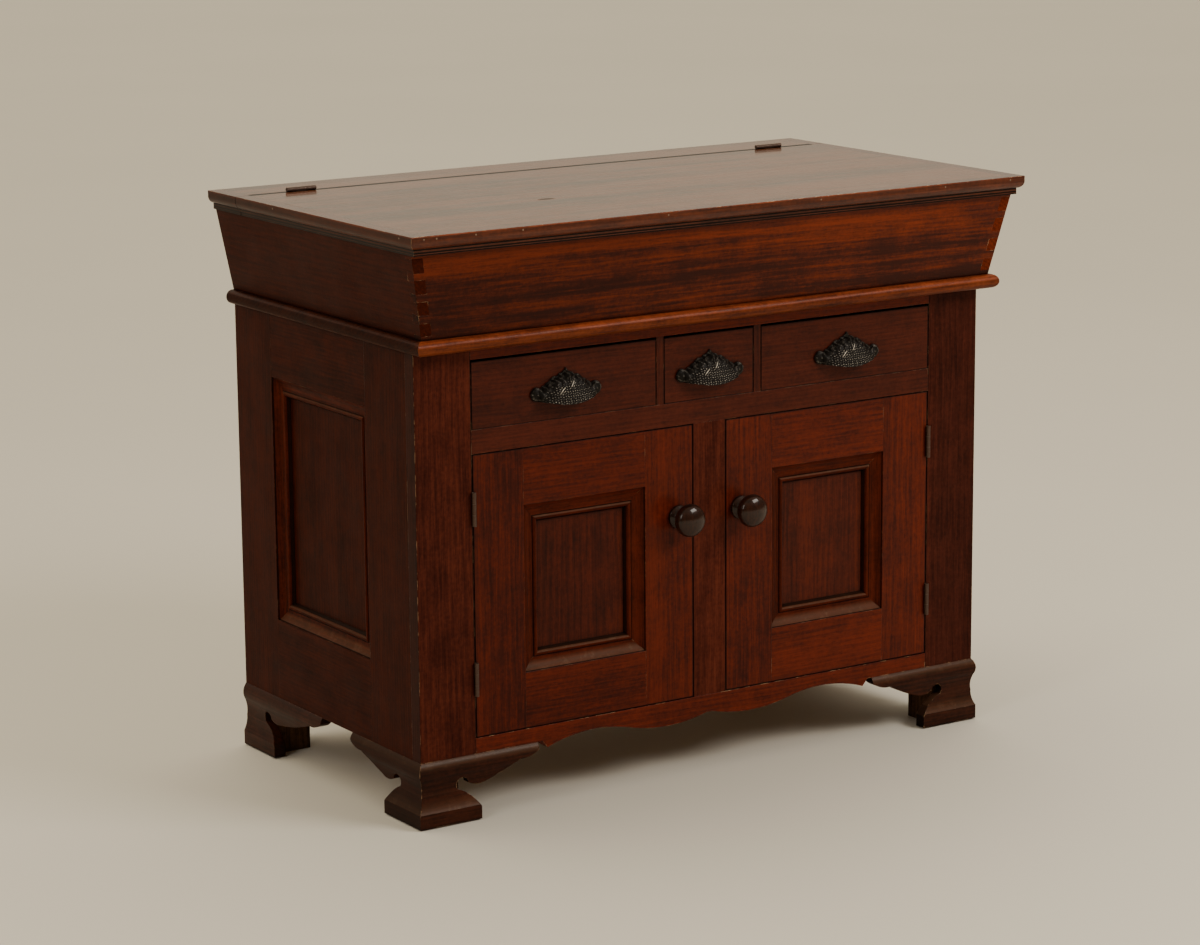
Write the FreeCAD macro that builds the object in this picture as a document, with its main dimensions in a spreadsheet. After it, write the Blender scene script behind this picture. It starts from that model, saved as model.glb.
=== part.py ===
import FreeCAD, Part
import os
import Sketcher

# Dry sink cabinet: a frame-and-panel cupboard on ogee bracket feet, with three drawers over two doors,
# and a splayed, dovetailed well on top under a hinged lid.
#
# Frame: millimetres, +Z up, front towards -Y, +X to the right of someone who faces the front.
# Origin: on the floor, under the middle of the closed lid.

V = FreeCAD.Vector
TURN = FreeCAD.Rotation

# ---------------------------------------------------------------- driving dimensions, in millimetres
DIMENSIONS = {
    # case
    "case_width": 1040, "case_depth": 550, "foot_height": 102, "wood_thickness": 24,
    "front_stile_width": 96, "centre_stile_width": 60,
    "back_board_thickness": 12, "back_board_count": 5, "back_board_lap": 8,
    "floor_thickness": 18, "shelf_thickness": 16, "shelf_height": 205, "shelf_setback": 60,
    "cleat_height": 24, "cleat_depth": 18,
    # the front, from the top down
    "top_rail_height": 19.5, "drawer_opening_height": 104.5, "drawer_rail_height": 36,
    "door_opening_height": 431.5, "apron_depth": 23.5, "divider_width": 13, "middle_opening_width": 167,
    # side frames
    "side_front_stile": 120, "side_rear_stile": 115, "side_top_rail": 100, "side_bottom_rail": 128,
    # panels and their mouldings
    "panel_back_land": 1.5, "panel_thickness": 6, "panel_tongue": 8, "panel_play": 0.25,
    "moulding_cove_width": 20, "moulding_cove_drop": 9.5, "moulding_bead_width": 7.5,
    "moulding_bead_rise": 3.5, "moulding_lip": 1.5, "moulding_foot": 3.5,
    # shaped apron: reaches from the middle, drops from the door opening
    "apron_end_gap": 8, "apron_cusp_width": 10, "apron_cusp_drop": 35, "apron_crest_drop": 20.5,
    "apron_bend_reach": 150, "apron_bend_drop": 28.7, "apron_lobe_reach": 72, "apron_lobe_drop": 38,
    "apron_notch_reach": 5.5, "apron_notch_drop": 28,
    # bracket feet: heights from the floor, reaches from the case corner
    "foot_projection": 6, "foot_board": 20, "foot_pad_height": 24, "foot_waist_height": 50,
    "foot_swell_height": 76, "foot_swell": 3, "foot_lift": 2, "spur_reach": 204, "rear_spur_extra": 48,
    "spur_tip": 9.5, "spur_curl_length": 34, "spur_curl_drop": 19.5, "spur_nose_reach": 108,
    "spur_nose_height": 56, "notch_reach": 71, "notch_height": 60, "notch_radius": 10.5,
    "notch_drop": 7.5, "pad_reach": 101, "ankle_height": 21.5, "foot_block_width": 58,
    "rear_bracket_reach": 150, "rear_bracket_board": 18, "rear_bracket_tip": 28.5, "rear_bracket_pad": 93,
    # doors
    "door_gap": 1.5, "door_stile_width": 87, "door_rail_width": 86,
    # butt hinges
    "hinge_length": 51, "hinge_leaf_thickness": 1.4, "hinge_leaf_width": 18, "hinge_leaf_play": 0.2,
    "barrel_radius": 3.3, "barrel_gap": 0.3, "pin_radius": 1.6, "pin_clearance": 0.05,
    "knuckle_count": 3, "knuckle_play": 0.3, "hinge_top_inset": 80.5, "hinge_bottom_inset": 89.5,
    "lid_hinge_inset": 114,
    # knobs and turn buttons
    "knob_inset": 26.5, "knob_height": 288.5, "knob_radius": 25.5, "knob_length": 47.5,
    "knob_rim_radius": 12, "knob_dome_rise": 3.5, "knob_flare_drop": 7, "knob_base_radius": 18,
    "knob_base_rim": 4.5, "knob_base_length": 8, "knob_neck_radius": 9, "knob_neck_place": 13.5,
    "knob_play": 0.2, "spindle_radius": 6, "spindle_clearance": 0.05, "button_length": 54,
    "button_width": 18, "button_thickness": 9, "button_play": 0.3,
    # drawers
    "drawer_side_gap": 1.25, "drawer_bottom_gap": 0.3, "drawer_top_gap": 3.5, "drawer_back_gap": 38,
    "drawer_front_thickness": 20, "drawer_side_thickness": 12, "drawer_side_drop": 8.2,
    "drawer_back_thickness": 11, "drawer_back_drop": 2, "drawer_bottom_thickness": 6,
    "drawer_bottom_rise": 9, "drawer_groove": 5, "drawer_tail_count": 3, "drawer_tail_share": 0.69,
    "drawer_tail_slope": 2.2, "drawer_lap": 6, "runner_thickness": 20, "runner_overlap": 20,
    "guide_height": 15,
    # drawer pulls
    "pull_width": 122, "pull_height": 54, "pull_plate": 2.5, "pull_cup_reach": 25, "pull_cup_half_width": 48,
    "pull_cup_height": 37, "pull_cup_wall": 2.5, "pull_shoulder_reach": 33, "pull_shoulder_height": 36,
    "pull_leaf_step": 7, "pull_peak_half_width": 6, "pull_peak_rise": 6, "pull_scroll_radius": 9,
    # well
    "well_floor_thickness": 22, "bead_flat": 0.2, "bead_side_overhang": 14.5, "bead_front_overhang": 40,
    "well_side_height": 128.5, "well_board": 18, "well_back_board": 20, "well_side_setback": 13.3,
    "well_side_splay": 26.6, "well_front_setback": 13, "well_front_splay": 22,
    "well_tail_count": 4, "well_tail_share": 0.59, "well_tail_slope": 4,
    # lid
    "lid_side_overhang": 11.2, "lid_front_overhang": 19.5, "lid_back_overhang": 3.5,
    "lid_board_thickness": 20, "lid_edge_height": 29.5, "lid_edge_width": 24, "lid_edge_flat": 8.5,
    "lid_edge_round": 10.5, "lid_edge_step": 2.5, "lid_edge_undercut": 6.5, "hinge_rail_width": 91,
    "seat_gap": 0.3,
}


# ---------------------------------------------------------------- sizes that remember their formula
class Size:
    """A length that knows both its value and the spreadsheet formula that gives it."""

    def __init__(self, value, formula=None):
        self.value = float(value)
        self.formula = formula or f"{float(value):.6f}"

    def __add__(self, other):
        other = size(other)
        return Size(self.value + other.value, f"({self.formula} + {other.formula})")

    def __sub__(self, other):
        other = size(other)
        return Size(self.value - other.value, f"({self.formula} - {other.formula})")

    def __mul__(self, other):
        other = size(other)
        return Size(self.value * other.value, f"({self.formula} * {other.formula})")

    def __truediv__(self, other):
        other = size(other)
        return Size(self.value / other.value, f"({self.formula} / {other.formula})")

    def __rsub__(self, other):
        return size(other) - self

    def root(self):
        return Size(self.value ** 0.5, f"sqrt({self.formula})")

    def __neg__(self):
        return Size(0) - self

    def __float__(self):
        return self.value

    __radd__ = __add__
    __rmul__ = __mul__


def size(number):
    return number if isinstance(number, Size) else Size(number)


doc = FreeCAD.newDocument("dry_sink")
sheet = doc.addObject("Spreadsheet::Sheet", "Dims")
for row, (name, number) in enumerate(DIMENSIONS.items(), start=1):
    sheet.set(f"A{row}", name)
    sheet.set(f"B{row}", str(number))
    sheet.setAlias(f"B{row}", name)
doc.recompute()


class Driving:
    """The driving dimensions by name, each as a Size bound to its cell."""


dim = Driving()
for name in DIMENSIONS:
    setattr(dim, name, Size(sheet.get(name), f"Dims.{name}"))


# How far each arc bows from its chord, as a share of that chord: to the left of the way it is drawn.
COVE_BOW, LID_EDGE_BOW = -0.12, -0.15
PAD_BOW, WAIST_BOW, SWELL_BOW = -0.07, -0.07, 0.16
CURL_BOW, NOSE_BOW, THROAT_BOW, NOTCH_BOW, ANKLE_BOW, BRACKET_BOW = 0.1, 0.03, 0.09, -0.71, 0.08, -0.15
LEAF_BOW, HALF_ROUND, CUP_BOW = -0.1, 0.5, 0.17

# ---------------------------------------------------------------- bench tools
nodes = []


def bind(thing, prop, length):
    """Tie a property to the formula of a size."""
    thing.setExpression(prop, size(length).formula)


def place(thing, x=0, y=0, z=0, turn=TURN()):
    """Turn a piece about the origin, then move it by three sizes."""
    thing.Placement = FreeCAD.Placement(V(0, 0, 0), turn)
    for axis, length in zip("xyz", (x, y, z)):
        bind(thing, f".Placement.Base.{axis}", length)
    return thing


def box(x, y, z):
    """A rectangular block between the low and high sizes of each axis."""
    block = doc.addObject("Part::Box", "block")
    for prop, (low, high) in zip(("Length", "Width", "Height"), (x, y, z)):
        bind(block, prop, size(high) - low)
    return place(block, x[0], y[0], z[0])


def rod(radius, low, high, x=0, y=0, turn=TURN()):
    """A round rod along Z from low to high, then turned about the origin."""
    cylinder = doc.addObject("Part::Cylinder", "rod")
    bind(cylinder, "Radius", radius)
    bind(cylinder, "Height", size(high) - low)
    place(cylinder, x, y, low)
    return cylinder if turn == TURN() else place(group([cylinder]), turn=turn)


def wedge(y, z, x_at_low_y, x_at_high_y, z_at_high_y=None):
    """A block whose x span, and z span if given, change evenly from low y to high y."""
    block = doc.addObject("Part::Wedge", "wedge")
    z_far = z_at_high_y or z
    spans = {"Y": y, "Z": z, "X": x_at_low_y}
    for letter, (low, high) in spans.items():
        bind(block, f"{letter}min", low)
        bind(block, f"{letter}max", high)
    for letter, (low, high) in {"Z2": z_far, "X2": x_at_high_y}.items():
        bind(block, f"{letter}min", low)
        bind(block, f"{letter}max", high)
    return block


def group(pieces):
    bundle = doc.addObject("Part::Compound", "group")
    bundle.Links = pieces
    return bundle


def fuse(pieces):
    whole = doc.addObject("Part::MultiFuse", "whole")
    whole.Shapes = pieces
    return whole


def cut(base, *tools):
    rest = doc.addObject("Part::Cut", "rest")
    rest.Base = base
    rest.Tool = tools[0] if len(tools) == 1 else group(list(tools))
    return rest


def common(first, second):
    shared = doc.addObject("Part::Common", "shared")
    shared.Base = first
    shared.Tool = second
    return shared


def mirrored(piece, normal=V(1, 0, 0)):
    """The mirror image of a piece in the plane through the origin with this normal."""
    image = doc.addObject("Part::Mirroring", "image")
    image.Source = piece
    image.Normal = normal
    return image


def copy_of(piece, x=0, y=0, z=0, turn=TURN()):
    """A second copy of a piece at another place."""
    return place(group([piece]), x, y, z, turn)


def node(label, *pieces):
    """Name a finished sub-part; several solids of one kind share a node."""
    finished = pieces[0] if len(pieces) == 1 else group(list(pieces))
    finished.Label = label
    nodes.append(finished)
    return finished


ON_FRONT = TURN(V(1, 0, 0), 90)      # sketch x stays x, sketch y becomes z
ON_SIDE = TURN(V(1, 1, 1), 120)      # sketch x becomes y, sketch y becomes z


def draw(sketch, start, *steps):
    """Close a sketch through corners. A step is (x, y) for a straight edge, (x, y, bow) for an arc that
    leaves its chord by that share of it, to the left, or (x, y, via_x, via_y) for an arc through a point."""
    corners = [start] + [step[:2] for step in steps]

    def at(corner):
        return V(float(corner[0]), float(corner[1]), 0)

    def lock(geometry, end, corner):
        for kind, length in zip(("DistanceX", "DistanceY"), corner):
            index = sketch.addConstraint(Sketcher.Constraint(kind, geometry, end, float(length)))
            bind(sketch, f"Constraints[{index}]", length)

    def via_point(here, there, shape):
        if len(shape) != 1:
            return shape
        bow = shape[0]
        return ((here[0] + there[0]) / 2 - (there[1] - here[1]) * bow,
                (here[1] + there[1]) / 2 + (there[0] - here[0]) * bow)

    ends = []
    for here, there, step in zip(corners, corners[1:] + corners[:1], [*steps, start]):
        via = via_point(here, there, step[2:])
        if via:
            clockwise = (at(via) - at(here)).cross(at(there) - at(via)).z < 0
            points = [at(there), at(via), at(here)] if clockwise else [at(here), at(via), at(there)]
            edge = sketch.addGeometry(Part.Arc(*points), False)
            ends.append((edge, 2, 1) if clockwise else (edge, 1, 2))
            mark = sketch.addGeometry(Part.Point(at(via)), True)
            sketch.addConstraint(Sketcher.Constraint("PointOnObject", mark, 1, edge))
            lock(mark, 1, via)
        else:
            edge = sketch.addGeometry(Part.LineSegment(at(here), at(there)), False)
            ends.append((edge, 1, 2))
    for (edge, first, _), (before, _, last), corner in zip(ends, ends[-1:] + ends[:-1], corners):
        sketch.addConstraint(Sketcher.Constraint("Coincident", edge, first, before, last))
        lock(edge, first, corner)


def outline(turn, start, *steps, x=0):
    """A loose sketch of this closed shape, turned into its plane and set at this x."""
    sketch = doc.addObject("Sketcher::SketchObject", "outline")
    draw(sketch, start, *steps)
    return place(sketch, x, turn=turn)


def body_with_sketch(label, plane_role, start, *steps):
    """A body with a closed sketch on one of its own origin planes."""
    body = doc.addObject("PartDesign::Body", label)
    sketch = body.newObject("Sketcher::SketchObject", f"{label}_section")
    plane = next(item for item in body.Origin.OriginFeatures if item.Role == plane_role)
    sketch.AttachmentSupport = [(plane, "")]
    sketch.MapMode = "FlatFace"
    draw(sketch, start, *steps)
    return body, sketch


def extrude(sketch, length, both_ways=False):
    """A solid of the sketch along its own normal."""
    solid = doc.addObject("Part::Extrusion", "solid")
    solid.Base = sketch
    solid.DirMode = "Normal"
    solid.Solid = True
    solid.Symmetric = both_ways
    bind(solid, "LengthFwd", length)
    return solid


def mitred_stick(profile, width, height, length, mitre_start=True, mitre_end=True):
    """A moulded stick along x. Its width runs into +y, and each mitre takes 45 degrees off that side."""
    span = (-height * 2, height * 2)
    far = (width if mitre_start else size(0), length - width if mitre_end else length)
    return common(extrude(profile, length), wedge((size(0), width), span, (size(0), length), far))


# ---------------------------------------------------------------- derived places
half_case = dim.case_width / 2
well_reach = dim.bead_front_overhang - dim.well_front_setback + dim.well_front_splay
lid_depth = dim.case_depth + dim.lid_back_overhang + well_reach + dim.lid_front_overhang
lid_back = lid_depth / 2
lid_front = -lid_back
case_back = lid_back - dim.lid_back_overhang
case_front = case_back - dim.case_depth
frame_back = case_front + dim.wood_thickness
back_face = case_back - dim.back_board_thickness
opening_side = half_case - dim.front_stile_width
inner_side = half_case - dim.wood_thickness
divider_inner = dim.middle_opening_width / 2
divider_outer = divider_inner + dim.divider_width

case_bottom = dim.foot_height
door_bottom = case_bottom + dim.apron_depth
door_top = door_bottom + dim.door_opening_height
drawer_bottom = door_top + dim.drawer_rail_height
drawer_top = drawer_bottom + dim.drawer_opening_height
case_top = drawer_top + dim.top_rail_height
case_height = case_top - case_bottom
well_bottom = case_top + dim.well_floor_thickness
well_rim = well_bottom + dim.well_side_height
lid_top = well_rim + dim.lid_edge_height
lid_under = lid_top - dim.lid_board_thickness

well_low = half_case + dim.bead_side_overhang - dim.well_side_setback
well_high = well_low + dim.well_side_splay
lid_side = well_high + dim.lid_side_overhang
rail_front = lid_back - dim.hinge_rail_width
seam = rail_front - dim.door_gap / 2
barrel_stand_off = dim.barrel_radius + dim.barrel_gap
panel_recess = dim.wood_thickness - dim.panel_back_land - dim.panel_thickness
moulding_width = dim.moulding_cove_width + dim.moulding_bead_width + dim.moulding_foot


# ---------------------------------------------------------------- butt hinges
# Local frame: pin along z, both leaves towards +y, the fixed leaf on the +x side of the gap.
leaf_inside = dim.hinge_leaf_play / 2
leaf_outside = leaf_inside + dim.hinge_leaf_thickness
half_hinge = dim.hinge_length / 2
knuckle_pitch = dim.hinge_length / dim.knuckle_count


def hinge_leaf(first_knuckle):
    """A leaf with every second knuckle, counted from the given one."""
    parts = [box((leaf_inside, leaf_outside),
                 (barrel_stand_off, barrel_stand_off + dim.hinge_leaf_width),
                 (-half_hinge, half_hinge))]
    for turn in range(first_knuckle, DIMENSIONS["knuckle_count"], 2):
        low = turn * knuckle_pitch - half_hinge + dim.knuckle_play / 2
        high = low + knuckle_pitch - dim.knuckle_play
        parts.append(rod(dim.barrel_radius, low, high))
        parts.append(box((leaf_inside, leaf_outside), (0, barrel_stand_off), (low, high)))
    return parts


# The pin is riveted into the middle of the fixed leaf's end knuckles, and the moving leaf turns on it.
pin_reach = half_hinge - knuckle_pitch / 2
fixed_leaf = fuse([*hinge_leaf(0), rod(dim.pin_radius, -pin_reach, pin_reach)])
pin_bore = rod(dim.pin_radius + dim.pin_clearance, -half_hinge, half_hinge)
moving_leaf = mirrored(cut(fuse(hinge_leaf(1)), pin_bore))

door_hinge_x = opening_side - dim.door_gap / 2
door_hinge_y = case_front - barrel_stand_off
door_height = dim.door_opening_height - dim.door_gap * 2
door_sill = door_bottom + dim.door_gap
door_hinge_heights = (door_sill + dim.hinge_bottom_inset, door_sill + door_height - dim.hinge_top_inset)
lid_hinge_reach = lid_side - dim.lid_hinge_inset
lid_hinge_z = lid_top + barrel_stand_off
lid_hinge_turn = TURN(V(0, 1, 0), V(0, 0, -1), V(-1, 0, 0), "XYZ")
mortise_depth = leaf_outside - dim.door_gap / 2


def at_door_hinges(piece):
    """Copies of a hinge piece at the left door's two hinges; the fixed leaf lies to the left."""
    return [copy_of(piece, -door_hinge_x, door_hinge_y, height, TURN(V(0, 1, 0), 180))
            for height in door_hinge_heights]


def at_lid_hinges(piece):
    return [copy_of(piece, reach, seam, lid_hinge_z, lid_hinge_turn)
            for reach in (-lid_hinge_reach, lid_hinge_reach)]


def lid_mortises(y_low, y_high):
    """Recesses in the lid seam for the lid's hinge leaves."""
    depth = dim.hinge_leaf_width
    return [box((reach - half_hinge, reach + half_hinge), (y_low, y_high), (lid_top - depth, lid_top + 1))
            for reach in (-lid_hinge_reach, lid_hinge_reach)]


# ---------------------------------------------------------------- frame and panel work
# A frame is laid out flat, face up: x along its width, y along its height, the face at z = 0.
def moulding_profile():
    """Planted panel moulding: lip, wide cove, raised bead, then a step down to the panel."""
    cove = dim.moulding_cove_width
    floor = -dim.moulding_cove_drop
    bead_foot = floor - dim.moulding_lip
    bead_end = cove + dim.moulding_bead_width
    return outline(ON_SIDE, (0, -panel_recess), (0, -dim.moulding_lip), (cove, floor, COVE_BOW),
                   (cove, bead_foot),
                   (bead_end, bead_foot, (cove + bead_end) / 2, bead_foot + dim.moulding_bead_rise),
                   (moulding_width, -panel_recess))


panel_moulding = moulding_profile()


def mitred_frame(width, height):
    """Four moulded sticks, mitred round an opening of this width and height."""
    sticks = []
    for length, x, y, angle in ((width, 0, 0, 0), (height, width, 0, 90),
                                (width, width, height, 180), (height, 0, height, 270)):
        stick = mitred_stick(panel_moulding, moulding_width, panel_recess, length)
        sticks.append(place(stick, x, y, 0, TURN(V(0, 0, 1), angle)))
    return group(sticks)


def framed_panel(width, height, stiles, rails):
    """Stiles, rails, panel and moulding of a frame. stiles is (left, right), rails is (bottom, top)."""
    left, right = stiles
    bottom, top = rails
    depth = (-dim.wood_thickness, 0)
    sight = (left, width - right), (bottom, height - top)
    back = -panel_recess - dim.panel_thickness

    def tongue(play):
        edge = dim.panel_tongue - dim.panel_play + play
        return [(low - edge, high + edge) for low, high in sight] + [(back - play, -panel_recess + play)]

    groove = box(*tongue(dim.panel_play))
    uprights = group([box((size(0), left), (size(0), height), depth),
                      box((width - right, width), (size(0), height), depth)])
    levels = group([box(sight[0], (size(0), bottom), depth), box(sight[0], (height - top, height), depth)])
    moulding = place(mitred_frame(sight[0][1] - left, sight[1][1] - bottom), left, bottom)
    return cut(uprights, groove), cut(levels, groove), box(*tongue(size(0))), moulding


# ---------------------------------------------------------------- case: face frame
def face_frame():
    depth = (case_front, frame_back)
    stiles = []
    for side in (-1, 1):
        edge, outer = sorted((side * opening_side, side * half_case), key=float)
        stiles.append(box((edge, outer), depth, (case_bottom, case_top)))
    mortises = []
    for height in door_hinge_heights:
        span = (height - half_hinge, height + half_hinge)
        front_part = (case_front - 1, case_front + dim.hinge_leaf_width)
        mortises.append(box((opening_side - 1, opening_side + mortise_depth), front_part, span))
        mortises.append(box((-opening_side - mortise_depth, -opening_side + 1), front_part, span))
    node("front_stiles", cut(group(stiles), *mortises))
    across = (-opening_side, opening_side)
    node("top_rail", box(across, depth, (drawer_top, case_top)))
    node("drawer_rail", box(across, depth, (door_top, drawer_bottom)))
    half_centre = dim.centre_stile_width / 2
    node("centre_stile", box((-half_centre, half_centre), depth, (door_bottom, door_top)))
    node("drawer_dividers", *[box((side - dim.divider_width / 2, side + dim.divider_width / 2), depth,
                                  (drawer_bottom, drawer_top))
                              for side in (-(divider_inner + divider_outer) / 2,
                                           (divider_inner + divider_outer) / 2)])


def apron():
    """Bottom rail whose lower edge is scalloped: cusp, arch and lobe each side of a small centre notch."""
    def low(drop):
        return door_bottom - drop

    end = half_case - dim.spur_reach - dim.apron_end_gap
    cusp = end - dim.apron_cusp_width
    bend, notch = dim.apron_bend_reach, dim.apron_notch_reach
    cusp_z, bend_z, notch_z = low(dim.apron_cusp_drop), low(dim.apron_bend_drop), low(dim.apron_notch_drop)
    crest = ((cusp + bend) / 2, low(dim.apron_crest_drop))
    lobe = (dim.apron_lobe_reach, low(dim.apron_lobe_drop))
    shape = outline(
        ON_FRONT, (-opening_side, door_bottom), (-opening_side, case_bottom), (-end, case_bottom),
        (-cusp, cusp_z), (-bend, bend_z, -crest[0], crest[1]), (-notch, notch_z, -lobe[0], lobe[1]),
        (notch, notch_z), (bend, bend_z, lobe[0], lobe[1]), (cusp, cusp_z, crest[0], crest[1]),
        (end, case_bottom), (opening_side, case_bottom), (opening_side, door_bottom))
    node("apron_rail", place(extrude(shape, dim.wood_thickness), y=frame_back))


# ---------------------------------------------------------------- case: sides, floor, shelf, back
def sides():
    """The side frame stands behind the front stile, so its front stile starts at the face frame's back."""
    depth = case_back - frame_back
    frame = framed_panel(depth, case_height, (dim.side_rear_stile, dim.side_front_stile),
                         (dim.side_bottom_rail, dim.side_top_rail))
    stand = TURN(V(0, 0, 1), -90) * ON_FRONT
    uprights, levels, panel, moulding = (copy_of(part, -half_case, case_back, case_bottom, stand)
                                         for part in frame)
    left = {"frame": group([uprights, levels]), "panel": panel, "moulding": moulding}
    for part, piece in left.items():
        node(f"left_side_{part}", piece)
        node(f"right_side_{part}", mirrored(piece))


def inside():
    across = (-inner_side, inner_side)
    deep = (frame_back, back_face)
    node("case_floor", box(across, deep, (door_bottom - dim.floor_thickness, door_bottom)))
    shelf_z = door_bottom + dim.shelf_height
    shelf_front = frame_back + dim.shelf_setback
    node("cupboard_shelf", box(across, (shelf_front, back_face), (shelf_z, shelf_z + dim.shelf_thickness)))
    cleat = box((-inner_side, -inner_side + dim.cleat_depth), (shelf_front, back_face),
                (shelf_z - dim.cleat_height, shelf_z))
    node("shelf_cleats", cleat, mirrored(cleat))


def back():
    """Upright boards, each with half its thickness lapped under the next."""
    count = DIMENSIONS["back_board_count"]
    pitch = inner_side * 2 / count
    middle = back_face + dim.back_board_thickness / 2
    tall = (case_bottom, case_top)
    boards = []
    for turn in range(count):
        low = -inner_side + pitch * turn
        high = low + pitch
        inner_low = low if turn == 0 else low + dim.back_board_lap
        inner_high = high if turn == count - 1 else high + dim.back_board_lap
        boards.append(fuse([box((inner_low, inner_high), (back_face, middle), tall),
                            box((low, high), (middle, case_back), tall)]))
    node("back_boards", *boards)


def runners():
    """Boards that carry the drawer sides, each with a guide between or beside the drawers."""
    deep = (frame_back, back_face)
    flat = (drawer_bottom - dim.runner_thickness, drawer_bottom)
    above = (drawer_bottom, drawer_bottom + dim.guide_height)
    outer = box((-inner_side, -opening_side + dim.runner_overlap), deep, flat)
    outer_guide = box((-opening_side - dim.runner_overlap, -opening_side), deep, above)
    inner = box((-divider_outer - dim.runner_overlap, -divider_inner + dim.runner_overlap), deep, flat)
    inner_guide = box((-divider_outer, -divider_inner), deep, above)
    left = [outer, outer_guide, inner, inner_guide]
    node("drawer_runners", *left, *[mirrored(piece) for piece in left])


# ---------------------------------------------------------------- ogee bracket feet
# Local frame of a facing: x from the case corner along the facing, the case face at y = 0, outwards is -y.
def foot_profile():
    """Ogee section: upright pad, cove waist, rounded top."""
    out = -dim.foot_projection
    swell = (-dim.foot_swell, dim.foot_swell_height)
    inside_face = dim.foot_board - dim.foot_projection
    waist = (0, dim.foot_waist_height)
    return outline(ON_SIDE, (inside_face, dim.foot_lift), (out, dim.foot_lift), (out, dim.foot_pad_height),
                   (*waist, PAD_BOW), (*swell, WAIST_BOW), (0, dim.foot_height, SWELL_BOW),
                   (inside_face, dim.foot_height), x=out)


foot_section = foot_profile()


def foot_outline(extra):
    """Bracket shape: spur with a curled tip, nose, round notch behind it, ankle that spreads to the pad."""
    high = dim.foot_height
    start = -dim.foot_projection
    reach = dim.spur_reach + extra
    curl = (reach - dim.spur_curl_length, high - dim.spur_curl_drop)
    nose = (dim.spur_nose_reach, dim.spur_nose_height)
    notch_front = (dim.notch_reach + dim.notch_radius, dim.notch_height)
    notch_back = (dim.notch_reach - dim.notch_drop, dim.notch_height - dim.notch_drop)
    ankle = (dim.pad_reach, dim.ankle_height)
    return outline(ON_FRONT, (start, 0), (start, high), (reach, high), (reach, high - dim.spur_tip),
                   (*curl, CURL_BOW), (*nose, NOSE_BOW), (*notch_front, THROAT_BOW),
                   (*notch_back, NOTCH_BOW), (*ankle, ANKLE_BOW), (dim.pad_reach, 0))


def facing(extra, mitred):
    """A moulded facing cut to the bracket outline, mitred or square at the corner."""
    length = dim.spur_reach + extra + dim.foot_projection
    reach = dim.foot_board * 2
    board = common(extrude(foot_section, length), extrude(foot_outline(extra), reach * 2, both_ways=True))
    near = -reach if mitred else size(0)
    far = reach if mitred else size(0)
    return common(board, wedge((-reach, reach), (size(0), dim.foot_height), (near, length), (far, length)))


def rear_bracket():
    """Plain board across the back, from the facing inwards."""
    high = dim.foot_height
    start = dim.foot_board - dim.foot_projection
    reach, pad = dim.rear_bracket_reach, dim.rear_bracket_pad
    shape = outline(ON_FRONT, (start, dim.foot_lift), (start, high), (reach, high),
                    (reach, high - dim.rear_bracket_tip), (pad, dim.ankle_height, BRACKET_BOW),
                    (pad, dim.foot_lift))
    return extrude(shape, dim.rear_bracket_board)


def feet():
    front = facing(size(0), mitred=True)
    front_pair = copy_of(group([front, mirrored(front, V(1, -1, 0))]), -half_case, case_front)
    side = copy_of(facing(dim.rear_spur_extra, mitred=False), -half_case, case_back, 0, TURN(V(0, 0, 1), -90))
    rear_pair = group([side, copy_of(rear_bracket(), -half_case, case_back)])
    node("front_left_foot", front_pair)
    node("front_right_foot", mirrored(front_pair))
    node("rear_left_foot", rear_pair)
    node("rear_right_foot", mirrored(rear_pair))
    inset = dim.foot_board - dim.foot_projection
    wide = (-half_case + inset, -half_case + inset + dim.foot_block_width)
    front_span = (case_front + inset, case_front + inset + dim.foot_block_width)
    rear_edge = case_back - dim.rear_bracket_board
    rear_span = (rear_edge - dim.foot_block_width, rear_edge)
    blocks = [box(wide, span, (size(0), dim.foot_height)) for span in (front_span, rear_span)]
    node("foot_blocks", *blocks, *[mirrored(block) for block in blocks])


# ---------------------------------------------------------------- doors, knobs and turn buttons
door_inner_edge = dim.centre_stile_width / 2 + dim.door_gap
door_width = opening_side - dim.door_gap - door_inner_edge
knob_x = door_inner_edge + dim.knob_inset
knob_z = door_sill + dim.knob_height


def doors():
    frame = framed_panel(door_width, door_height, (dim.door_stile_width, dim.door_stile_width),
                         (dim.door_rail_width, dim.door_rail_width))
    uprights, levels, panel, moulding = (
        copy_of(part, -opening_side + dim.door_gap, case_front, door_sill, ON_FRONT) for part in frame)
    edge = -opening_side + dim.door_gap
    mortises = [box((edge - 1, edge + mortise_depth), (case_front - 1, case_front + dim.hinge_leaf_width),
                    (height - half_hinge, height + half_hinge)) for height in door_hinge_heights]
    bore = copy_of(rod(dim.spindle_radius + dim.spindle_clearance, -1, dim.wood_thickness + 1),
                   -knob_x, case_front, knob_z, TURN(V(1, 0, 0), -90))
    left = {"stiles": cut(uprights, bore, *mortises), "rails": levels, "panel": panel,
            "moulding": moulding, "hinge_leaves": group(at_door_hinges(moving_leaf))}
    for part, piece in left.items():
        node(f"left_door_{part}", piece)
        node(f"right_door_{part}", mirrored(piece))


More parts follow.
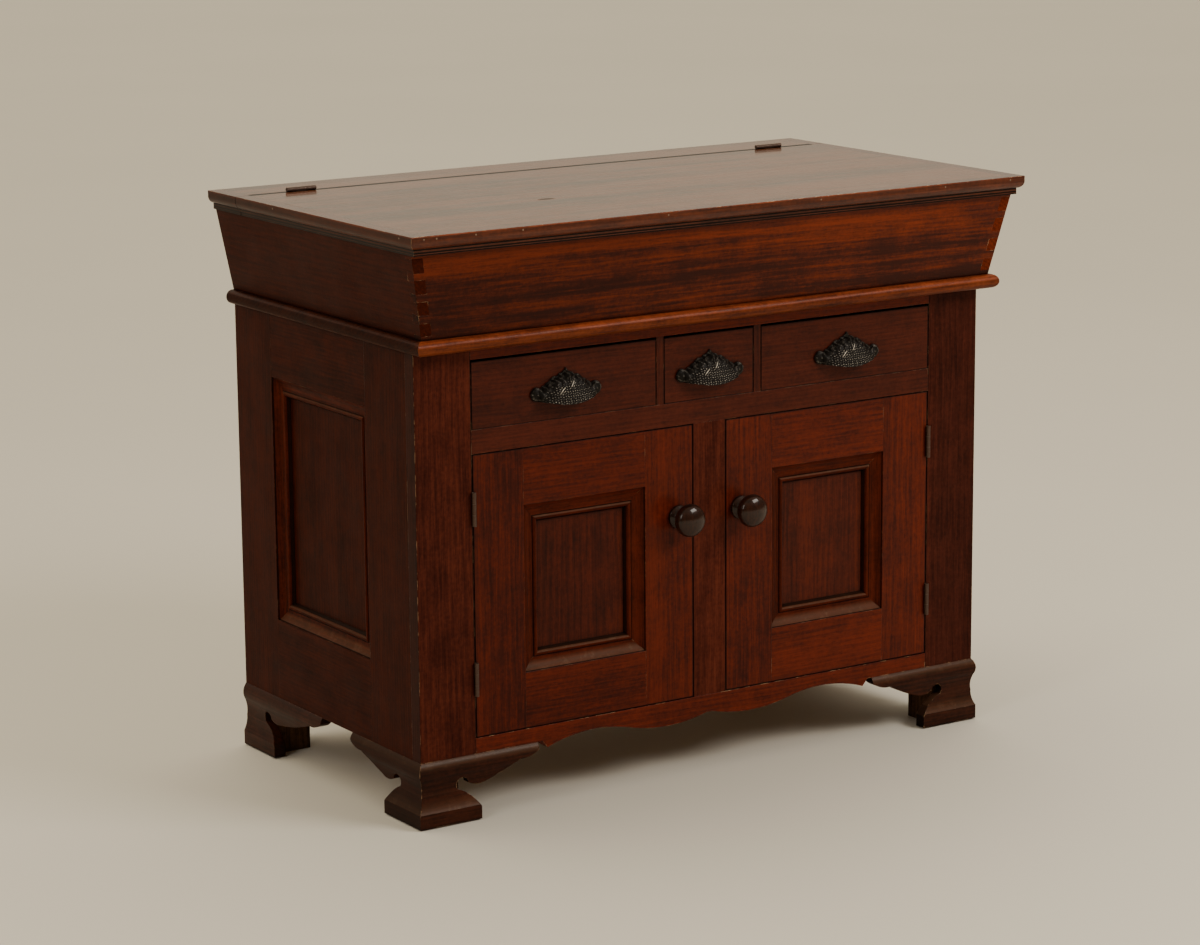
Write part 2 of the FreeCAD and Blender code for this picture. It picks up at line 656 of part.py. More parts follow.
def knob():
    """Turned knob and spindle. Its section is drawn in radius and distance, and turned about the z axis."""
    tail = -dim.wood_thickness - dim.button_play - dim.knob_play
    # The rim is an arc about (rim_x, rim_z). The dome is a sphere that meets it without a crease.
    rim = dim.knob_rim_radius
    rise = rim + dim.knob_dome_rise
    rim_x, rim_z = dim.knob_radius - rim, dim.knob_length - rise
    dome = (rise * rise + rim_x * rim_x - rim * rim) / (dim.knob_dome_rise * 2)
    dome_z = dim.knob_length - dome
    meet_x = rim_x * dome / (dome - rim)
    meet_z = dome_z + (rim_z - dome_z) * dome / (dome - rim)
    crown_x = meet_x / 2
    crown_z = dome_z + (dome * dome - crown_x * crown_x).root()
    flare_x = rim_x + (rim * rim - dim.knob_flare_drop * dim.knob_flare_drop).root()
    flare_z = rim_z - dim.knob_flare_drop
    neck, base = dim.knob_neck_radius, dim.knob_base_radius
    body, sketch = body_with_sketch(
        "knob", "XZ_Plane", (0, tail), (dim.spindle_radius, tail), (dim.spindle_radius, 0), (base, 0),
        (base, dim.knob_base_rim), ((neck + base) / 2, dim.knob_base_length), (neck, dim.knob_neck_place),
        (flare_x, flare_z), (meet_x, meet_z, dim.knob_radius, rim_z), (0, dim.knob_length, crown_x, crown_z))
    turned = body.newObject("PartDesign::Revolution", "turned_knob")
    turned.Profile = sketch
    turned.ReferenceAxis = (sketch, ["V_Axis"])
    turned.Angle = 360
    body.Tip = turned
    return body


def knobs_and_buttons():
    """Each knob's spindle ends on a turn button that swings behind the centre stile."""
    turned = copy_of(knob(), -knob_x, case_front - dim.knob_play, knob_z, TURN(V(1, 0, 0), 90))
    near = frame_back + dim.button_play
    half = dim.button_width / 2
    button = box((-knob_x - half, -knob_x + half), (near, near + dim.button_thickness),
                 (knob_z - half, knob_z + dim.button_length - half))
    for part, piece in {"knob": turned, "turn_button": button}.items():
        node(f"left_{part}", piece)
        node(f"right_{part}", mirrored(piece))


# ---------------------------------------------------------------- drawers
def pull():
    """Cast bin pull: a leafy plate and a hollow cup, open below. Local frame: plate's back at y = 0."""
    half, peak = dim.pull_width / 2, dim.pull_height / 2
    drop = -peak
    shoulder = (dim.pull_shoulder_reach, drop + dim.pull_shoulder_height)
    leaf = (shoulder[0] + dim.pull_leaf_step, shoulder[1] - dim.pull_leaf_step)
    scroll_x, scroll_z = half - dim.pull_scroll_radius, drop + dim.pull_scroll_radius * 2
    crown = (dim.pull_peak_half_width, peak - dim.pull_peak_rise)
    shape = outline(
        ON_FRONT, (-scroll_x, drop), (-scroll_x, scroll_z, HALF_ROUND), (-leaf[0], leaf[1], LEAF_BOW),
        (-shoulder[0], shoulder[1]), (-crown[0], crown[1], LEAF_BOW), (0, peak), crown,
        (*shoulder, LEAF_BOW), leaf, (scroll_x, scroll_z, LEAF_BOW), (scroll_x, drop, HALF_ROUND))
    plate = extrude(shape, dim.pull_plate)

    def cup(wall):
        """The cup's bulge: its side view runs along x, its plan runs along z, and it is what both share."""
        reach = dim.pull_cup_reach - wall
        wide, high = dim.pull_cup_half_width - wall, dim.pull_cup_height - wall
        side = outline(ON_SIDE, (0, 0), (-reach, 0), (0, high, CUP_BOW))
        plan = outline(TURN(), (wide, 0), (-wide, 0, 0, -reach))
        return place(common(extrude(side, half * 2, both_ways=True), extrude(plan, high)), z=drop)

    return cut(fuse([plate, cup(size(0))]), cup(dim.pull_cup_wall))


def drawer(opening, x_middle):
    """Front, dovetailed box and bottom of a drawer for an opening of this width."""
    width = opening - dim.drawer_side_gap * 2
    low = drawer_bottom + dim.drawer_bottom_gap
    high = drawer_top - dim.drawer_top_gap
    left, right = x_middle - width / 2, x_middle + width / 2
    wall = dim.drawer_side_thickness
    front_back = case_front + dim.drawer_front_thickness
    rear = back_face - dim.drawer_back_gap
    side_top = drawer_top - dim.drawer_side_drop
    walls = ((left, left + wall), (right - wall, right))

    def tails():
        """Dovetails at the front end of both sides, wider towards the front."""
        pins = []
        pitch = (side_top - low) / dim.drawer_tail_count
        for turn in range(DIMENSIONS["drawer_tail_count"]):
            centre = low + pitch * turn + pitch / 2
            wide = pitch * dim.drawer_tail_share / 2
            narrow = wide - dim.drawer_tail_slope
            for span in walls:
                pins.append(wedge((case_front + dim.drawer_lap, front_back), (centre - wide, centre + wide),
                                  span, span, (centre - narrow, centre + narrow)))
        return pins

    bottom_z = (low + dim.drawer_bottom_rise, low + dim.drawer_bottom_rise + dim.drawer_bottom_thickness)
    groove = dim.drawer_groove
    board = ((left + wall - groove, right - wall + groove), (front_back - groove, rear))
    bottom = box(*board, bottom_z)
    front = cut(box((left, right), (case_front, front_back), (low, high)), *tails(), bottom)
    tail_pieces = tails()
    sides = [cut(fuse([box(span, (front_back, rear), (low, side_top)), *tail_pieces[index::2]]), bottom)
             for index, span in enumerate(walls)]
    rear_board = box((left + wall, right - wall), (rear - dim.drawer_back_thickness, rear),
                     (bottom_z[1], side_top - dim.drawer_back_drop))
    return front, group([*sides, rear_board]), bottom


def drawers():
    half_outer = (opening_side - divider_outer) / 2
    outer_x = divider_outer + half_outer
    pull_cast = pull()
    pull_z = (drawer_bottom + drawer_top - dim.drawer_top_gap) / 2
    places = {"left": (half_outer * 2, -outer_x), "middle": (dim.middle_opening_width, size(0)),
              "right": (half_outer * 2, outer_x)}
    for name, (opening, x) in places.items():
        front, carcase, bottom = drawer(opening, x)
        node(f"{name}_drawer_front", front)
        node(f"{name}_drawer_box", carcase)
        node(f"{name}_drawer_bottom", bottom)
        node(f"{name}_drawer_pull", copy_of(pull_cast, x, case_front, pull_z))


# ---------------------------------------------------------------- well
def well_floor():
    """The board under the well, bull-nosed at the front and both sides."""
    half = half_case + dim.bead_side_overhang
    front = case_front - dim.bead_front_overhang
    body, sketch = body_with_sketch("well_floor", "XY_Plane", (-half, front), (half, front),
                                    (half, case_back), (-half, case_back))
    board = body.newObject("PartDesign::Pad", "well_floor_board")
    board.Profile = sketch
    bind(board, "Length", dim.well_floor_thickness)
    doc.recompute()
    level = {0.0, DIMENSIONS["well_floor_thickness"]}
    edges = []
    for index, edge in enumerate(board.Shape.Edges, start=1):
        middle = edge.CenterOfMass
        moulded = abs(middle.y - float(case_back)) > 1 and any(abs(middle.z - z) < 0.01 for z in level)
        edges += [f"Edge{index}"] if moulded else []
    nose = body.newObject("PartDesign::Fillet", "bull_nose")
    nose.Base = (board, edges)
    bind(nose, "Radius", dim.well_floor_thickness / 2 - dim.bead_flat)
    body.Tip = nose
    node("well_floor", place(body, z=case_top))


def well():
    """Splayed front and sides, joined by through dovetails cut at the compound angle; the back is upright."""
    height = dim.well_side_height
    front_high = case_front - well_reach
    front_low = front_high + dim.well_front_splay
    stand = TURN(V(1, 0, 0), 90)

    def splayed(x_low, x_high, y_low, y_high):
        """A board between a bottom rectangle and a top rectangle; spans are (low, high) in x and in y."""
        board = wedge((size(0), height), (-y_low[1], -y_low[0]), x_low, x_high, (-y_high[1], -y_high[0]))
        return place(board, z=well_bottom, turn=stand)

    thick = dim.well_board
    side = splayed((-well_low, -well_low + thick), (-well_high, -well_high + thick),
                   (front_low, case_back), (front_high, case_back))
    both_sides = group([side, mirrored(side)])
    blank = splayed((-well_low, well_low), (-well_high, well_high),
                    (front_low, front_low + thick), (front_high, front_high + thick))
    pitch = height / dim.well_tail_count
    tails = []
    for turn in range(DIMENSIONS["well_tail_count"]):
        centre = well_bottom + pitch * turn + pitch / 2
        wide = (pitch * dim.well_tail_share + dim.well_tail_slope) / 2
        narrow = wide - dim.well_tail_slope
        across = (-well_high - 1, well_high + 1)
        tails.append(wedge((front_high - 1, front_low + thick), (centre - wide, centre + wide),
                           across, across, (centre - narrow, centre + narrow)))
    front = cut(blank, common(both_sides, group(tails)))
    back_front = case_back - dim.well_back_board
    node("well_front", front)
    node("well_sides", cut(both_sides, front))
    upright = splayed((-well_low + thick, well_low - thick), (-well_high + thick, well_high - thick),
                      (back_front, case_back), (back_front, case_back))
    crown_half = well_high - thick
    crown = box((-crown_half, crown_half), (back_front, case_back), (well_rim, lid_under))
    node("well_back", fuse([upright, crown]))


# ---------------------------------------------------------------- lid and hinge rail
def lid_profile():
    """Edge moulding: square arris, rounded under it, then a step down to the rim."""
    down = -dim.lid_edge_flat
    low = down - dim.lid_edge_round
    step = dim.lid_edge_undercut + dim.lid_edge_step
    return outline(ON_SIDE, (0, 0), (0, down),
                   (dim.lid_edge_undercut, low, LID_EDGE_BOW),
                   (step, low), (step, dim.seat_gap - dim.lid_edge_height),
                   (dim.lid_edge_width, dim.seat_gap - dim.lid_edge_height), (dim.lid_edge_width, 0))


def lid():
    half = lid_side
    wide = dim.lid_edge_width
    edge = lid_profile()
    lid_rear = seam - dim.door_gap / 2
    reach = lid_rear - lid_front
    flat = (lid_under, lid_top)
    across = (-half + wide, half - wide)
    front = place(mitred_stick(edge, wide, dim.lid_edge_height, half * 2), -half, lid_front, lid_top)
    side = place(mitred_stick(edge, wide, dim.lid_edge_height, reach, mitre_start=False),
                 -half, lid_rear, lid_top, TURN(V(0, 0, 1), -90))
    node("lid_board", cut(box(across, (lid_front + wide, lid_rear), flat),
                          *lid_mortises(lid_rear - mortise_depth, lid_rear + 1)))
    node("lid_moulding", front, side, mirrored(side))
    end = place(mitred_stick(edge, wide, dim.lid_edge_height, dim.hinge_rail_width, False, False),
                -half, lid_back, lid_top, TURN(V(0, 0, 1), -90))
    node("hinge_rail", cut(box(across, (rail_front, lid_back), flat),
                           *lid_mortises(rail_front - 1, rail_front + mortise_depth)))
    node("hinge_rail_ends", end, mirrored(end))


def hinges():
    case_leaves = group(at_door_hinges(fixed_leaf))
    node("door_hinge_case_leaves", case_leaves, mirrored(case_leaves))
    node("lid_hinge_rail_leaves", *at_lid_hinges(fixed_leaf))
    node("lid_hinge_leaves", *at_lid_hinges(moving_leaf))


# ---------------------------------------------------------------- build, check and write
def check():
    """Every object has to be up to date, and every sub-part a sound shape."""
    for thing in doc.Objects:
        if "Invalid" in thing.State or "Error" in thing.State:
            raise RuntimeError(f"{thing.Label} did not build: {thing.State}")
    for piece in nodes:
        if piece.Shape.isNull() or not piece.Shape.isValid() or not piece.Shape.Solids:
            raise RuntimeError(f"{piece.Label} is not a sound shape")


def main():
    for make in (face_frame, apron, sides, inside, back, runners, feet, doors, knobs_and_buttons, drawers,
                 well_floor, well, lid, hinges):
        make()
    doc.recompute()
    check()
    os.makedirs("parts", exist_ok=True)
    for piece in nodes:
        piece.Shape.exportStep(f"parts/{piece.Label}.step")
        box_mm = piece.Shape.BoundBox
        print(f"{piece.Label:26} {len(piece.Shape.Solids):3d} solids {piece.Shape.Volume / 1000:10.1f} cm3"
              f"  x {box_mm.XMin:8.1f} {box_mm.XMax:8.1f}  y {box_mm.YMin:8.1f} {box_mm.YMax:8.1f}"
              f"  z {box_mm.ZMin:7.1f} {box_mm.ZMax:7.1f}")


main()
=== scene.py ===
import math

import bpy
import numpy as np
from bpy.props import FloatProperty, FloatVectorProperty, IntProperty, PointerProperty
from mathutils import Matrix, Vector


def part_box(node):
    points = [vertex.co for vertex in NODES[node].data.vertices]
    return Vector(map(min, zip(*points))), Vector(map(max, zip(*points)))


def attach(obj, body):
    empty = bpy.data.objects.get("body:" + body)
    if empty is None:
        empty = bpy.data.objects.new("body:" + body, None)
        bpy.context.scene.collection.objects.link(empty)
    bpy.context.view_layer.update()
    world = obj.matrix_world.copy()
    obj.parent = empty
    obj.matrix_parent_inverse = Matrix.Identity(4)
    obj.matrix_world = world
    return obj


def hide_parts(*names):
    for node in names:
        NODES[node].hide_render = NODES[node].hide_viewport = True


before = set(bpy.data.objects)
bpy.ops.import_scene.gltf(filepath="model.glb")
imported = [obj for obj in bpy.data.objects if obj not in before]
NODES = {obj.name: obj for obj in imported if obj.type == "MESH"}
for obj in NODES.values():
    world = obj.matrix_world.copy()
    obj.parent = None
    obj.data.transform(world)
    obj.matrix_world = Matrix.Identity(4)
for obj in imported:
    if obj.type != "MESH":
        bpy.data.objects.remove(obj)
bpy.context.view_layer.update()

bl_info = {"name": "Dry sink cabinet", "version": (1, 0, 0), "blender": (4, 5, 0),
    "location": "3D View > Sidebar > Dry Sink",
    "description": "Finishes, small fittings and a studio for a dry sink cabinet", "category": "Object", }

SIDES = ("left", "right")
DRAWERS = ("left", "middle", "right")
MM = 0.001

# Sizes of joinery and hardware that the finishes and small fittings follow.
BACK_BOARDS = 5
DRAWER_BACK = 11 * MM
BUTT_LENGTH = 51 * MM
BARREL_DEPTH = 6.9 * MM
SCREW_STEP = 17 * MM
NAIL_DROP = 5 * MM
FRONT_NAILS_X = (-0.538, -0.517, -0.452, -0.373, -0.12, 0.16, 0.40, 0.53)
SIDE_NAILS_Y = (-0.277, 0.1)
KNOT_IN_LID = (-0.191, -0.087, 0.897)
KNOT_IN_FRONT = (-0.515, -0.292, 0.804)
# Seams in mm, where lines of painted shade lie: of a planted moulding from its outer edge, and of the lid's
# edge below its top.
MOULDING_SEAMS = ((-0.5, 1.1), (19.2, 20.6), (27.6, 32.0))
LID_EDGE_SEAMS = (20.2, 25.0, 28.6)

# Noise layers that follow the grain: steps per metre along and across it, detail, roughness.
BANDS = (0.7, 8.0, 3.0, 0.5)
STREAKS = (2.2, 46.0, 4.0, 0.65)
FIBRES = (16.0, 340.0, 3.0, 0.5)
CURLS = (34.0, 5.0, 2.0, 0.5)
PORES = (70.0, 1100.0, 1.0, 0.5)
RING_BENDS = (0.9, 5.0, 3.0, 0.5)
PLANE_WAVES = (2.5, 9.0, 1.0, 0.5)
BRUSH_MARKS = (2.6, 60.0, 3.0, 0.5)
# Noise layers that lie over the grain: steps per metre, detail, roughness.
CLOUDS = (22.0, 6.0, 0.7)
MOTTLES = (170.0, 3.0, 0.65)
SCUFFS = (55.0, 5.0, 0.7)
SMUDGES = (16.0, 3.0, 0.5)
# Upper edge of a pull's leaves: shares of its half width and half height.
LEAF_TIPS = np.array([(0, 0.05, 0.12, 0.20, 0.23, 0.35, 0.43, 0.48, 0.56, 0.59, 0.67, 0.72),
                      (0.97, 0.80, 0.70, 0.66, 0.54, 0.53, 0.42, 0.28, 0.22, 0.10, 0.06, -0.06)])


# ---- what a user would change
def colour(name, description, default):
    """A colour setting, linear red, green and blue."""
    return FloatVectorProperty(name=name, description=description, subtype="COLOR", size=3,
                               min=0.0, max=1.0, default=default)


def length(name, description, default):
    """A length setting in metres."""
    return FloatProperty(name=name, description=description, unit="LENGTH", subtype="DISTANCE",
                         default=default, precision=4)


def share(name, description, default):
    """A setting between nothing and all."""
    return FloatProperty(name=name, description=description, subtype="FACTOR", min=0.0, max=1.0,
                         default=default)


def angle(name, description, default):
    """An angle setting in radians."""
    return FloatProperty(name=name, description=description, subtype="ANGLE", default=default)


def amount(name, description, default, unit="NONE"):
    """A plain number and its unit."""
    return FloatProperty(name=name, description=description, unit=unit, default=default)


class WoodColours(bpy.types.PropertyGroup):
    """Each wood finish has a dark tone and a light tone, which its grain mixes."""
    case_dark: colour("Case dark", "Dark grain of the case and doors", (0.028, 0.0036, 0.0012))
    case_light: colour("Case light", "Light grain of the case and doors", (0.142, 0.016, 0.0033))
    post_light: colour("Post light", "Light grain of the front's upright stiles", (0.124, 0.0235, 0.0115))
    panel_dark: colour("Panel dark", "Dark grain of the panels", (0.022, 0.0034, 0.0013))
    panel_light: colour("Panel light", "Light grain of the panels", (0.103, 0.0138, 0.0038))
    drawer_light: colour("Drawer light", "Light grain of the drawer fronts and their rail",
                         (0.08, 0.0122, 0.004))
    side_dark: colour("Side dark", "Dark grain of the cabinet's sides", (0.012, 0.002, 0.0007))
    side_light: colour("Side light", "Light grain of the cabinet's sides", (0.057, 0.0078, 0.0018))
    well_dark: colour("Well dark", "Dark grain of the well's front", (0.032, 0.0046, 0.0014))
    well_light: colour("Well light", "Light grain of the well's front", (0.178, 0.0245, 0.0042))
    bead_light: colour("Bead light", "Light grain of the bull-nosed floor and the lid's edge",
                       (0.19, 0.038, 0.0095))
    lid_dark: colour("Lid dark", "Dark grain of the lid", (0.045, 0.012, 0.0036))
    lid_light: colour("Lid light", "Light grain of the lid", (0.2, 0.055, 0.014))
    foot_dark: colour("Foot dark", "Dark grain of the bracket feet", (0.012, 0.0036, 0.0016))
    foot_light: colour("Foot light", "Light grain of the bracket feet", (0.062, 0.0145, 0.006))
    block_light: colour("Block light", "Light grain of the foot blocks", (0.12, 0.056, 0.023))
    knob_dark: colour("Knob dark", "Dark grain of the knobs", (0.009, 0.0036, 0.002))
    knob_light: colour("Knob light", "Light grain of the knobs", (0.04, 0.012, 0.006))
    inside_dark: colour("Inside dark", "Dark grain of the unseen boards", (0.12, 0.056, 0.023))
    inside_light: colour("Inside light", "Light grain of the unseen boards", (0.33, 0.19, 0.086))
    back_dark: colour("Back dark", "Dark grain of the back boards", (0.034, 0.015, 0.0064))
    back_light: colour("Back light", "Light grain of the back boards", (0.105, 0.052, 0.0235))
    wear: colour("Wear", "Bare wood on rubbed edges", (0.6, 0.36, 0.19))
    # Dust and wax on ledges, mixed with a painted sheen on the faces that look up.
    dust_and_sheen: colour("Dust", "Old dust and wax on ledges", (0.15, 0.082, 0.048))


class WoodSurface(bpy.types.PropertyGroup):
    """How the wood's surface is cut and varnished."""
    ring_gap: length("Ring gap", "Distance between two growth rings", 0.0065)
    arris: length("Arris", "Radius of a softened edge", 0.0013)
    case_gloss: share("Case gloss", "Varnish on the case", 0.05)
    lid_gloss: share("Lid gloss", "Varnish on the lid", 0.90)
    knob_gloss: share("Knob gloss", "Varnish on the knobs", 0.42)
    inside_gloss: share("Inside gloss", "Varnish on the unseen boards", 0.0)


class Hardware(bpy.types.PropertyGroup):
    """Cast pulls, hinges, screws and nails."""
    iron: colour("Iron", "Hinges and screws", (0.07, 0.042, 0.03))
    nail: colour("Nail", "Nail heads in the lid's edge", (0.26, 0.18, 0.12))
    casting: colour("Casting", "Hollows of the cast pulls", (0.006, 0.0046, 0.0036))
    rubbed: colour("Rubbed", "High spots of the cast pulls", (0.52, 0.47, 0.4))
    relief: length("Relief", "Height of the leaves on the pulls", 0.0016)
    casting_wall: length("Casting wall", "Thickness of the cast metal", 0.0016)
    leaves: IntProperty(name="Leaves", description="Leaves that fan out over a pull", default=11, min=3)
    screw_radius: length("Screw radius", "Screw heads on the hinges", 0.0032)
    nail_radius: length("Nail radius", "Filled nail holes", 0.0015)


class Studio(bpy.types.PropertyGroup):
    """Camera, floor and lights."""
    eye: FloatVectorProperty(name="Eye", description="Where the camera stands", subtype="XYZ",
                             unit="LENGTH", default=(-3.066, -4.622, 1.632))
    heading: angle("Heading", "Turn from the depth of the cabinet to its right", 0.5795)
    tilt: angle("Tilt", "How far the camera looks down", 0.2126)
    roll: angle("Roll", "Lean of the camera", -0.0085)
    lens: amount("Lens", "Focal length on a 36 mm frame", 107.15, "CAMERA")
    floor: colour("Floor", "The pale floor", (0.76, 0.725, 0.64))
    air: colour("Air", "The light all round", (1.0, 0.87, 0.66))
    lamp: colour("Lamp", "The two soft lamps", (1.0, 0.93, 0.84))
    low_strength: amount("Low strength", "Light from near the horizon", 0.48)
    high_strength: amount("High strength", "Light from overhead", 1.9)
    near_share: share("Near share", "How much of it comes from the camera's side", 0.25)
    key_power: amount("Key power", "Soft light from the front", 150.0, "POWER")
    side_power: amount("Side power", "Soft light from the left", 35.0, "POWER")


# ---- materials
class Shaders:
    """A node tree under construction. Each call adds a node and gives back its result."""

    def __init__(self, tree):
        self.tree = tree
        tree.nodes.clear()

    def add(self, kind, inputs=None, **settings):
        """One shader node with its settings and its inputs, by name or by number."""
        node = self.tree.nodes.new(kind)
        for name, value in settings.items():
            setattr(node, name, value)
        for key, value in (inputs or {}).items():
            if isinstance(value, bpy.types.NodeSocket):
                self.tree.links.new(value, node.inputs[key])
            elif value is not None:
                node.inputs[key].default_value = value
        return node

    def split(self, vector):
        return self.add("ShaderNodeSeparateXYZ", {0: vector}).outputs[:3]

    def join(self, x, y, z):
        return self.add("ShaderNodeCombineXYZ", {0: x, 1: y, 2: z}).outputs[0]

    def math(self, operation, first, second=None, third=None):
        inputs = {0: first, 1: second, 2: third}
        return self.add("ShaderNodeMath", inputs, operation=operation).outputs[0]

    def times(self, first, second):
        return self.math("MULTIPLY", first, second)

    def scaled(self, vector, by):
        return self.add("ShaderNodeVectorMath", {0: vector, 1: by}, operation="MULTIPLY").outputs[0]

    def moved(self, vector, by):
        return self.add("ShaderNodeVectorMath", {0: vector, 1: by}, operation="ADD").outputs[0]

    def noise(self, vector, scale=1.0, detail=2.0, roughness=0.5):
        """Noise from 0 to 1."""
        return self.add("ShaderNodeTexNoise", {"Vector": vector, "Scale": scale, "Detail": detail,
                                               "Roughness": roughness}).outputs["Fac"]

    def swing(self, vector, scale, detail, roughness):
        """Noise from -1 to 1."""
        return self.math("MULTIPLY_ADD", self.noise(vector, scale, detail, roughness), 2.0, -1.0)

    def span(self, value, low, high, to_low=0.0, to_high=1.0):
        """A value between low and high, spread smoothly over another span."""
        inputs = {"Value": value, "From Min": low, "From Max": high, "To Min": to_low, "To Max": to_high}
        spread = self.add("ShaderNodeMapRange", inputs, interpolation_type="SMOOTHSTEP")
        return spread.outputs["Result"]

    def blend(self, amount, first, second, kind="RGBA"):
        """Mix of two colours, or of two vectors."""
        slots = {"RGBA": (6, 7, 2), "VECTOR": (4, 5, 1)}[kind]
        inputs = {0: amount, slots[0]: first, slots[1]: second}
        return self.add("ShaderNodeMix", inputs, data_type=kind).outputs[slots[2]]

    def multiply(self, tint, by):
        """A colour times another one."""
        return self.add("ShaderNodeMix", {0: 1.0, 6: tint, 7: by}, data_type="RGBA",
                        blend_type="MULTIPLY").outputs[2]

    def grey(self, value):
        """A colour with three equal parts."""
        return self.add("ShaderNodeCombineColor", {0: value, 1: value, 2: value}).outputs[0]


class Recipe(Shaders):
    """A material under construction, with the place and the normal that its layers read."""

    def __init__(self, name):
        self.material = bpy.data.materials.new(name)
        self.material.use_nodes = True
        super().__init__(self.material.node_tree)
        coordinates = self.add("ShaderNodeTexCoord")
        self.place = coordinates.outputs["Object"]
        self.normal = coordinates.outputs["Normal"]
        self.x, self.y, self.z = self.split(self.place)

    def rounded(self, radius):
        """Normal of the surface with its edges softened, and how near an edge is."""
        soft = self.add("ShaderNodeBevel", {"Radius": radius}, samples=6).outputs[0]
        hard = self.add("ShaderNodeNewGeometry").outputs["Normal"]
        facing = self.add("ShaderNodeVectorMath", {0: soft, 1: hard}, operation="DOT_PRODUCT")
        return soft, self.span(facing.outputs["Value"], 0.99, 0.86)

    def bump(self, height, depth, normal=None):
        """A normal that follows a height, which stands depth metres high at 1."""
        return self.add("ShaderNodeBump", {"Strength": 1.0, "Distance": depth, "Height": height,
                                           "Normal": normal}).outputs[0]

    def finish(self, **shader):
        """Close the tree with the main shader. Its inputs are named with _ for a space."""
        inputs = {name.replace("_", " "): value for name, value in shader.items()}
        surface = self.add("ShaderNodeBsdfPrincipled", inputs)
        self.add("ShaderNodeOutputMaterial", {"Surface": surface.outputs[0]})
        return self.material


def rgba(tint):
    return (*tint, 1.0)


class Grain:
    """Which way the grain runs: along one axis, or along another one inside a region."""

    def __init__(self, run, other=None, inside=None):
        self.run = run
        self.other = other
        self.inside = inside

    @staticmethod
    def turned(parts, axis):
        """Three coordinates with the grain's own axis first."""
        first = "xyz".index(axis)
        return [parts[first]] + [part for index, part in enumerate(parts) if index != first]

    def apply(self, recipe, parts):
        """A vector's parts, given as a vector again with the one along the grain first."""
        main = recipe.join(*self.turned(parts, self.run))
        if self.other is None:
            return main
        rest = recipe.join(*self.turned(parts, self.other))
        return recipe.blend(self.inside(recipe), main, rest, "VECTOR")


# A region gives 1 inside it and 0 outside. A stain is a region with its shade, by which the colour
# there is multiplied.
def slab(axis, low, high):
    """Region between two planes across an axis."""
    def inside(recipe):
        place = getattr(recipe, axis)
        above = recipe.math("GREATER_THAN", place, low)
        below = recipe.math("LESS_THAN", place, high)
        return recipe.times(above, below)
    return inside


def plane(axis, place):
    """Region within a millimetre of a plane across an axis."""
    return slab(axis, place - MM, place + MM)


def overhang(recipe, node, axis):
    """How far a place lies past the end of a node's box on an axis; it is negative inside."""
    low, high = (corner["xyz".index(axis)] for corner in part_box(node))
    from_middle = recipe.math("SUBTRACT", getattr(recipe, axis), (low + high) / 2)
    return recipe.math("SUBTRACT", recipe.math("ABSOLUTE", from_middle), (high - low) / 2)


def mitred(node, across, along):
    """Region of the two sticks of a mitred frame that run along the first axis."""
    def inside(recipe):
        return recipe.math("GREATER_THAN", overhang(recipe, node, along), overhang(recipe, node, across))
    return inside


def frame_band(node, across, along, start, end):
    """Region of a mitred frame between two distances from its outer edge."""
    def inside(recipe):
        depth = recipe.math("MAXIMUM", overhang(recipe, node, along), overhang(recipe, node, across))
        past_start = recipe.math("LESS_THAN", depth, -start)
        return recipe.times(past_start, recipe.math("GREATER_THAN", depth, -end))
    return inside


def corner_sides(x, y, reach=1.0):
    """Region of the side sticks: nearer to the side than the mitre from the front corner, and
    within reach."""
    def inside(recipe):
        to_side = recipe.math("SUBTRACT", x, recipe.math("ABSOLUTE", recipe.x))
        to_front = recipe.math("SUBTRACT", recipe.y, y)
        return recipe.math("LESS_THAN", to_side, recipe.math("MINIMUM", to_front, reach))
    return inside


def fade(axis, low, high):
    """Region that grows from nothing at one place on an axis to the whole at another."""
    def inside(recipe):
        return recipe.span(getattr(recipe, axis), low, high)
    return inside


def knot(centre, radius):
    """Region close round a point, drawn out along a grain that runs from left to right."""
    def inside(recipe):
        offset = recipe.moved(recipe.place, tuple(-part for part in centre))
        drawn_out = recipe.scaled(offset, (0.45, 1.0, 1.0))
        away = recipe.add("ShaderNodeVectorMath", {0: drawn_out}, operation="LENGTH")
        return recipe.span(away.outputs["Value"], radius, radius * 0.3)
    return inside


def both(first, second):
    """Region where two others lie over each other."""
    return lambda recipe: recipe.times(first(recipe), second(recipe))


def shaded_flanks(recipe):
    """Region of the faces that look to the left or to the right, which the finishes darken as painted shade.
    """
    sideways = recipe.math("ABSOLUTE", recipe.split(recipe.normal)[0])
    return recipe.math("GREATER_THAN", sideways, 0.7)


def faces_front(recipe):
    """Region of the faces that look to the front."""
    return recipe.math("LESS_THAN", recipe.split(recipe.normal)[1], -0.7)


def rounded_top(recipe):
    """Region of the faces that look up, fading out over a round edge."""
    return recipe.span(recipe.split(recipe.normal)[2], -0.1, 0.6)


def below_top(recipe):
    """Region of the faces that don't look up."""
    return recipe.span(recipe.split(recipe.normal)[2], 0.85, 0.6)


def gap_shade(node, *axes):
    """Painted shade along the ends of a door or a drawer front on each of the axes, beside the gap round it.
    """
    def end_line(axis):
        return lambda recipe: recipe.math("GREATER_THAN", overhang(recipe, node, axis), -1.1 * MM)
    return [(end_line(axis), 0.3) for axis in axes]


def moulding_shade_lines(node, across, along):
    """Painted shade along the lines of a planted moulding: at its outer edge, before its bead and after it.
    """
    return [(frame_band(node, across, along, start * MM, end * MM), 0.2) for start, end in MOULDING_SEAMS]


# Painted shade: the front darkens towards the left, where less light falls.
PAINTED_LEFT_SHADE = (fade("x", 0.2, -0.35), 0.86)


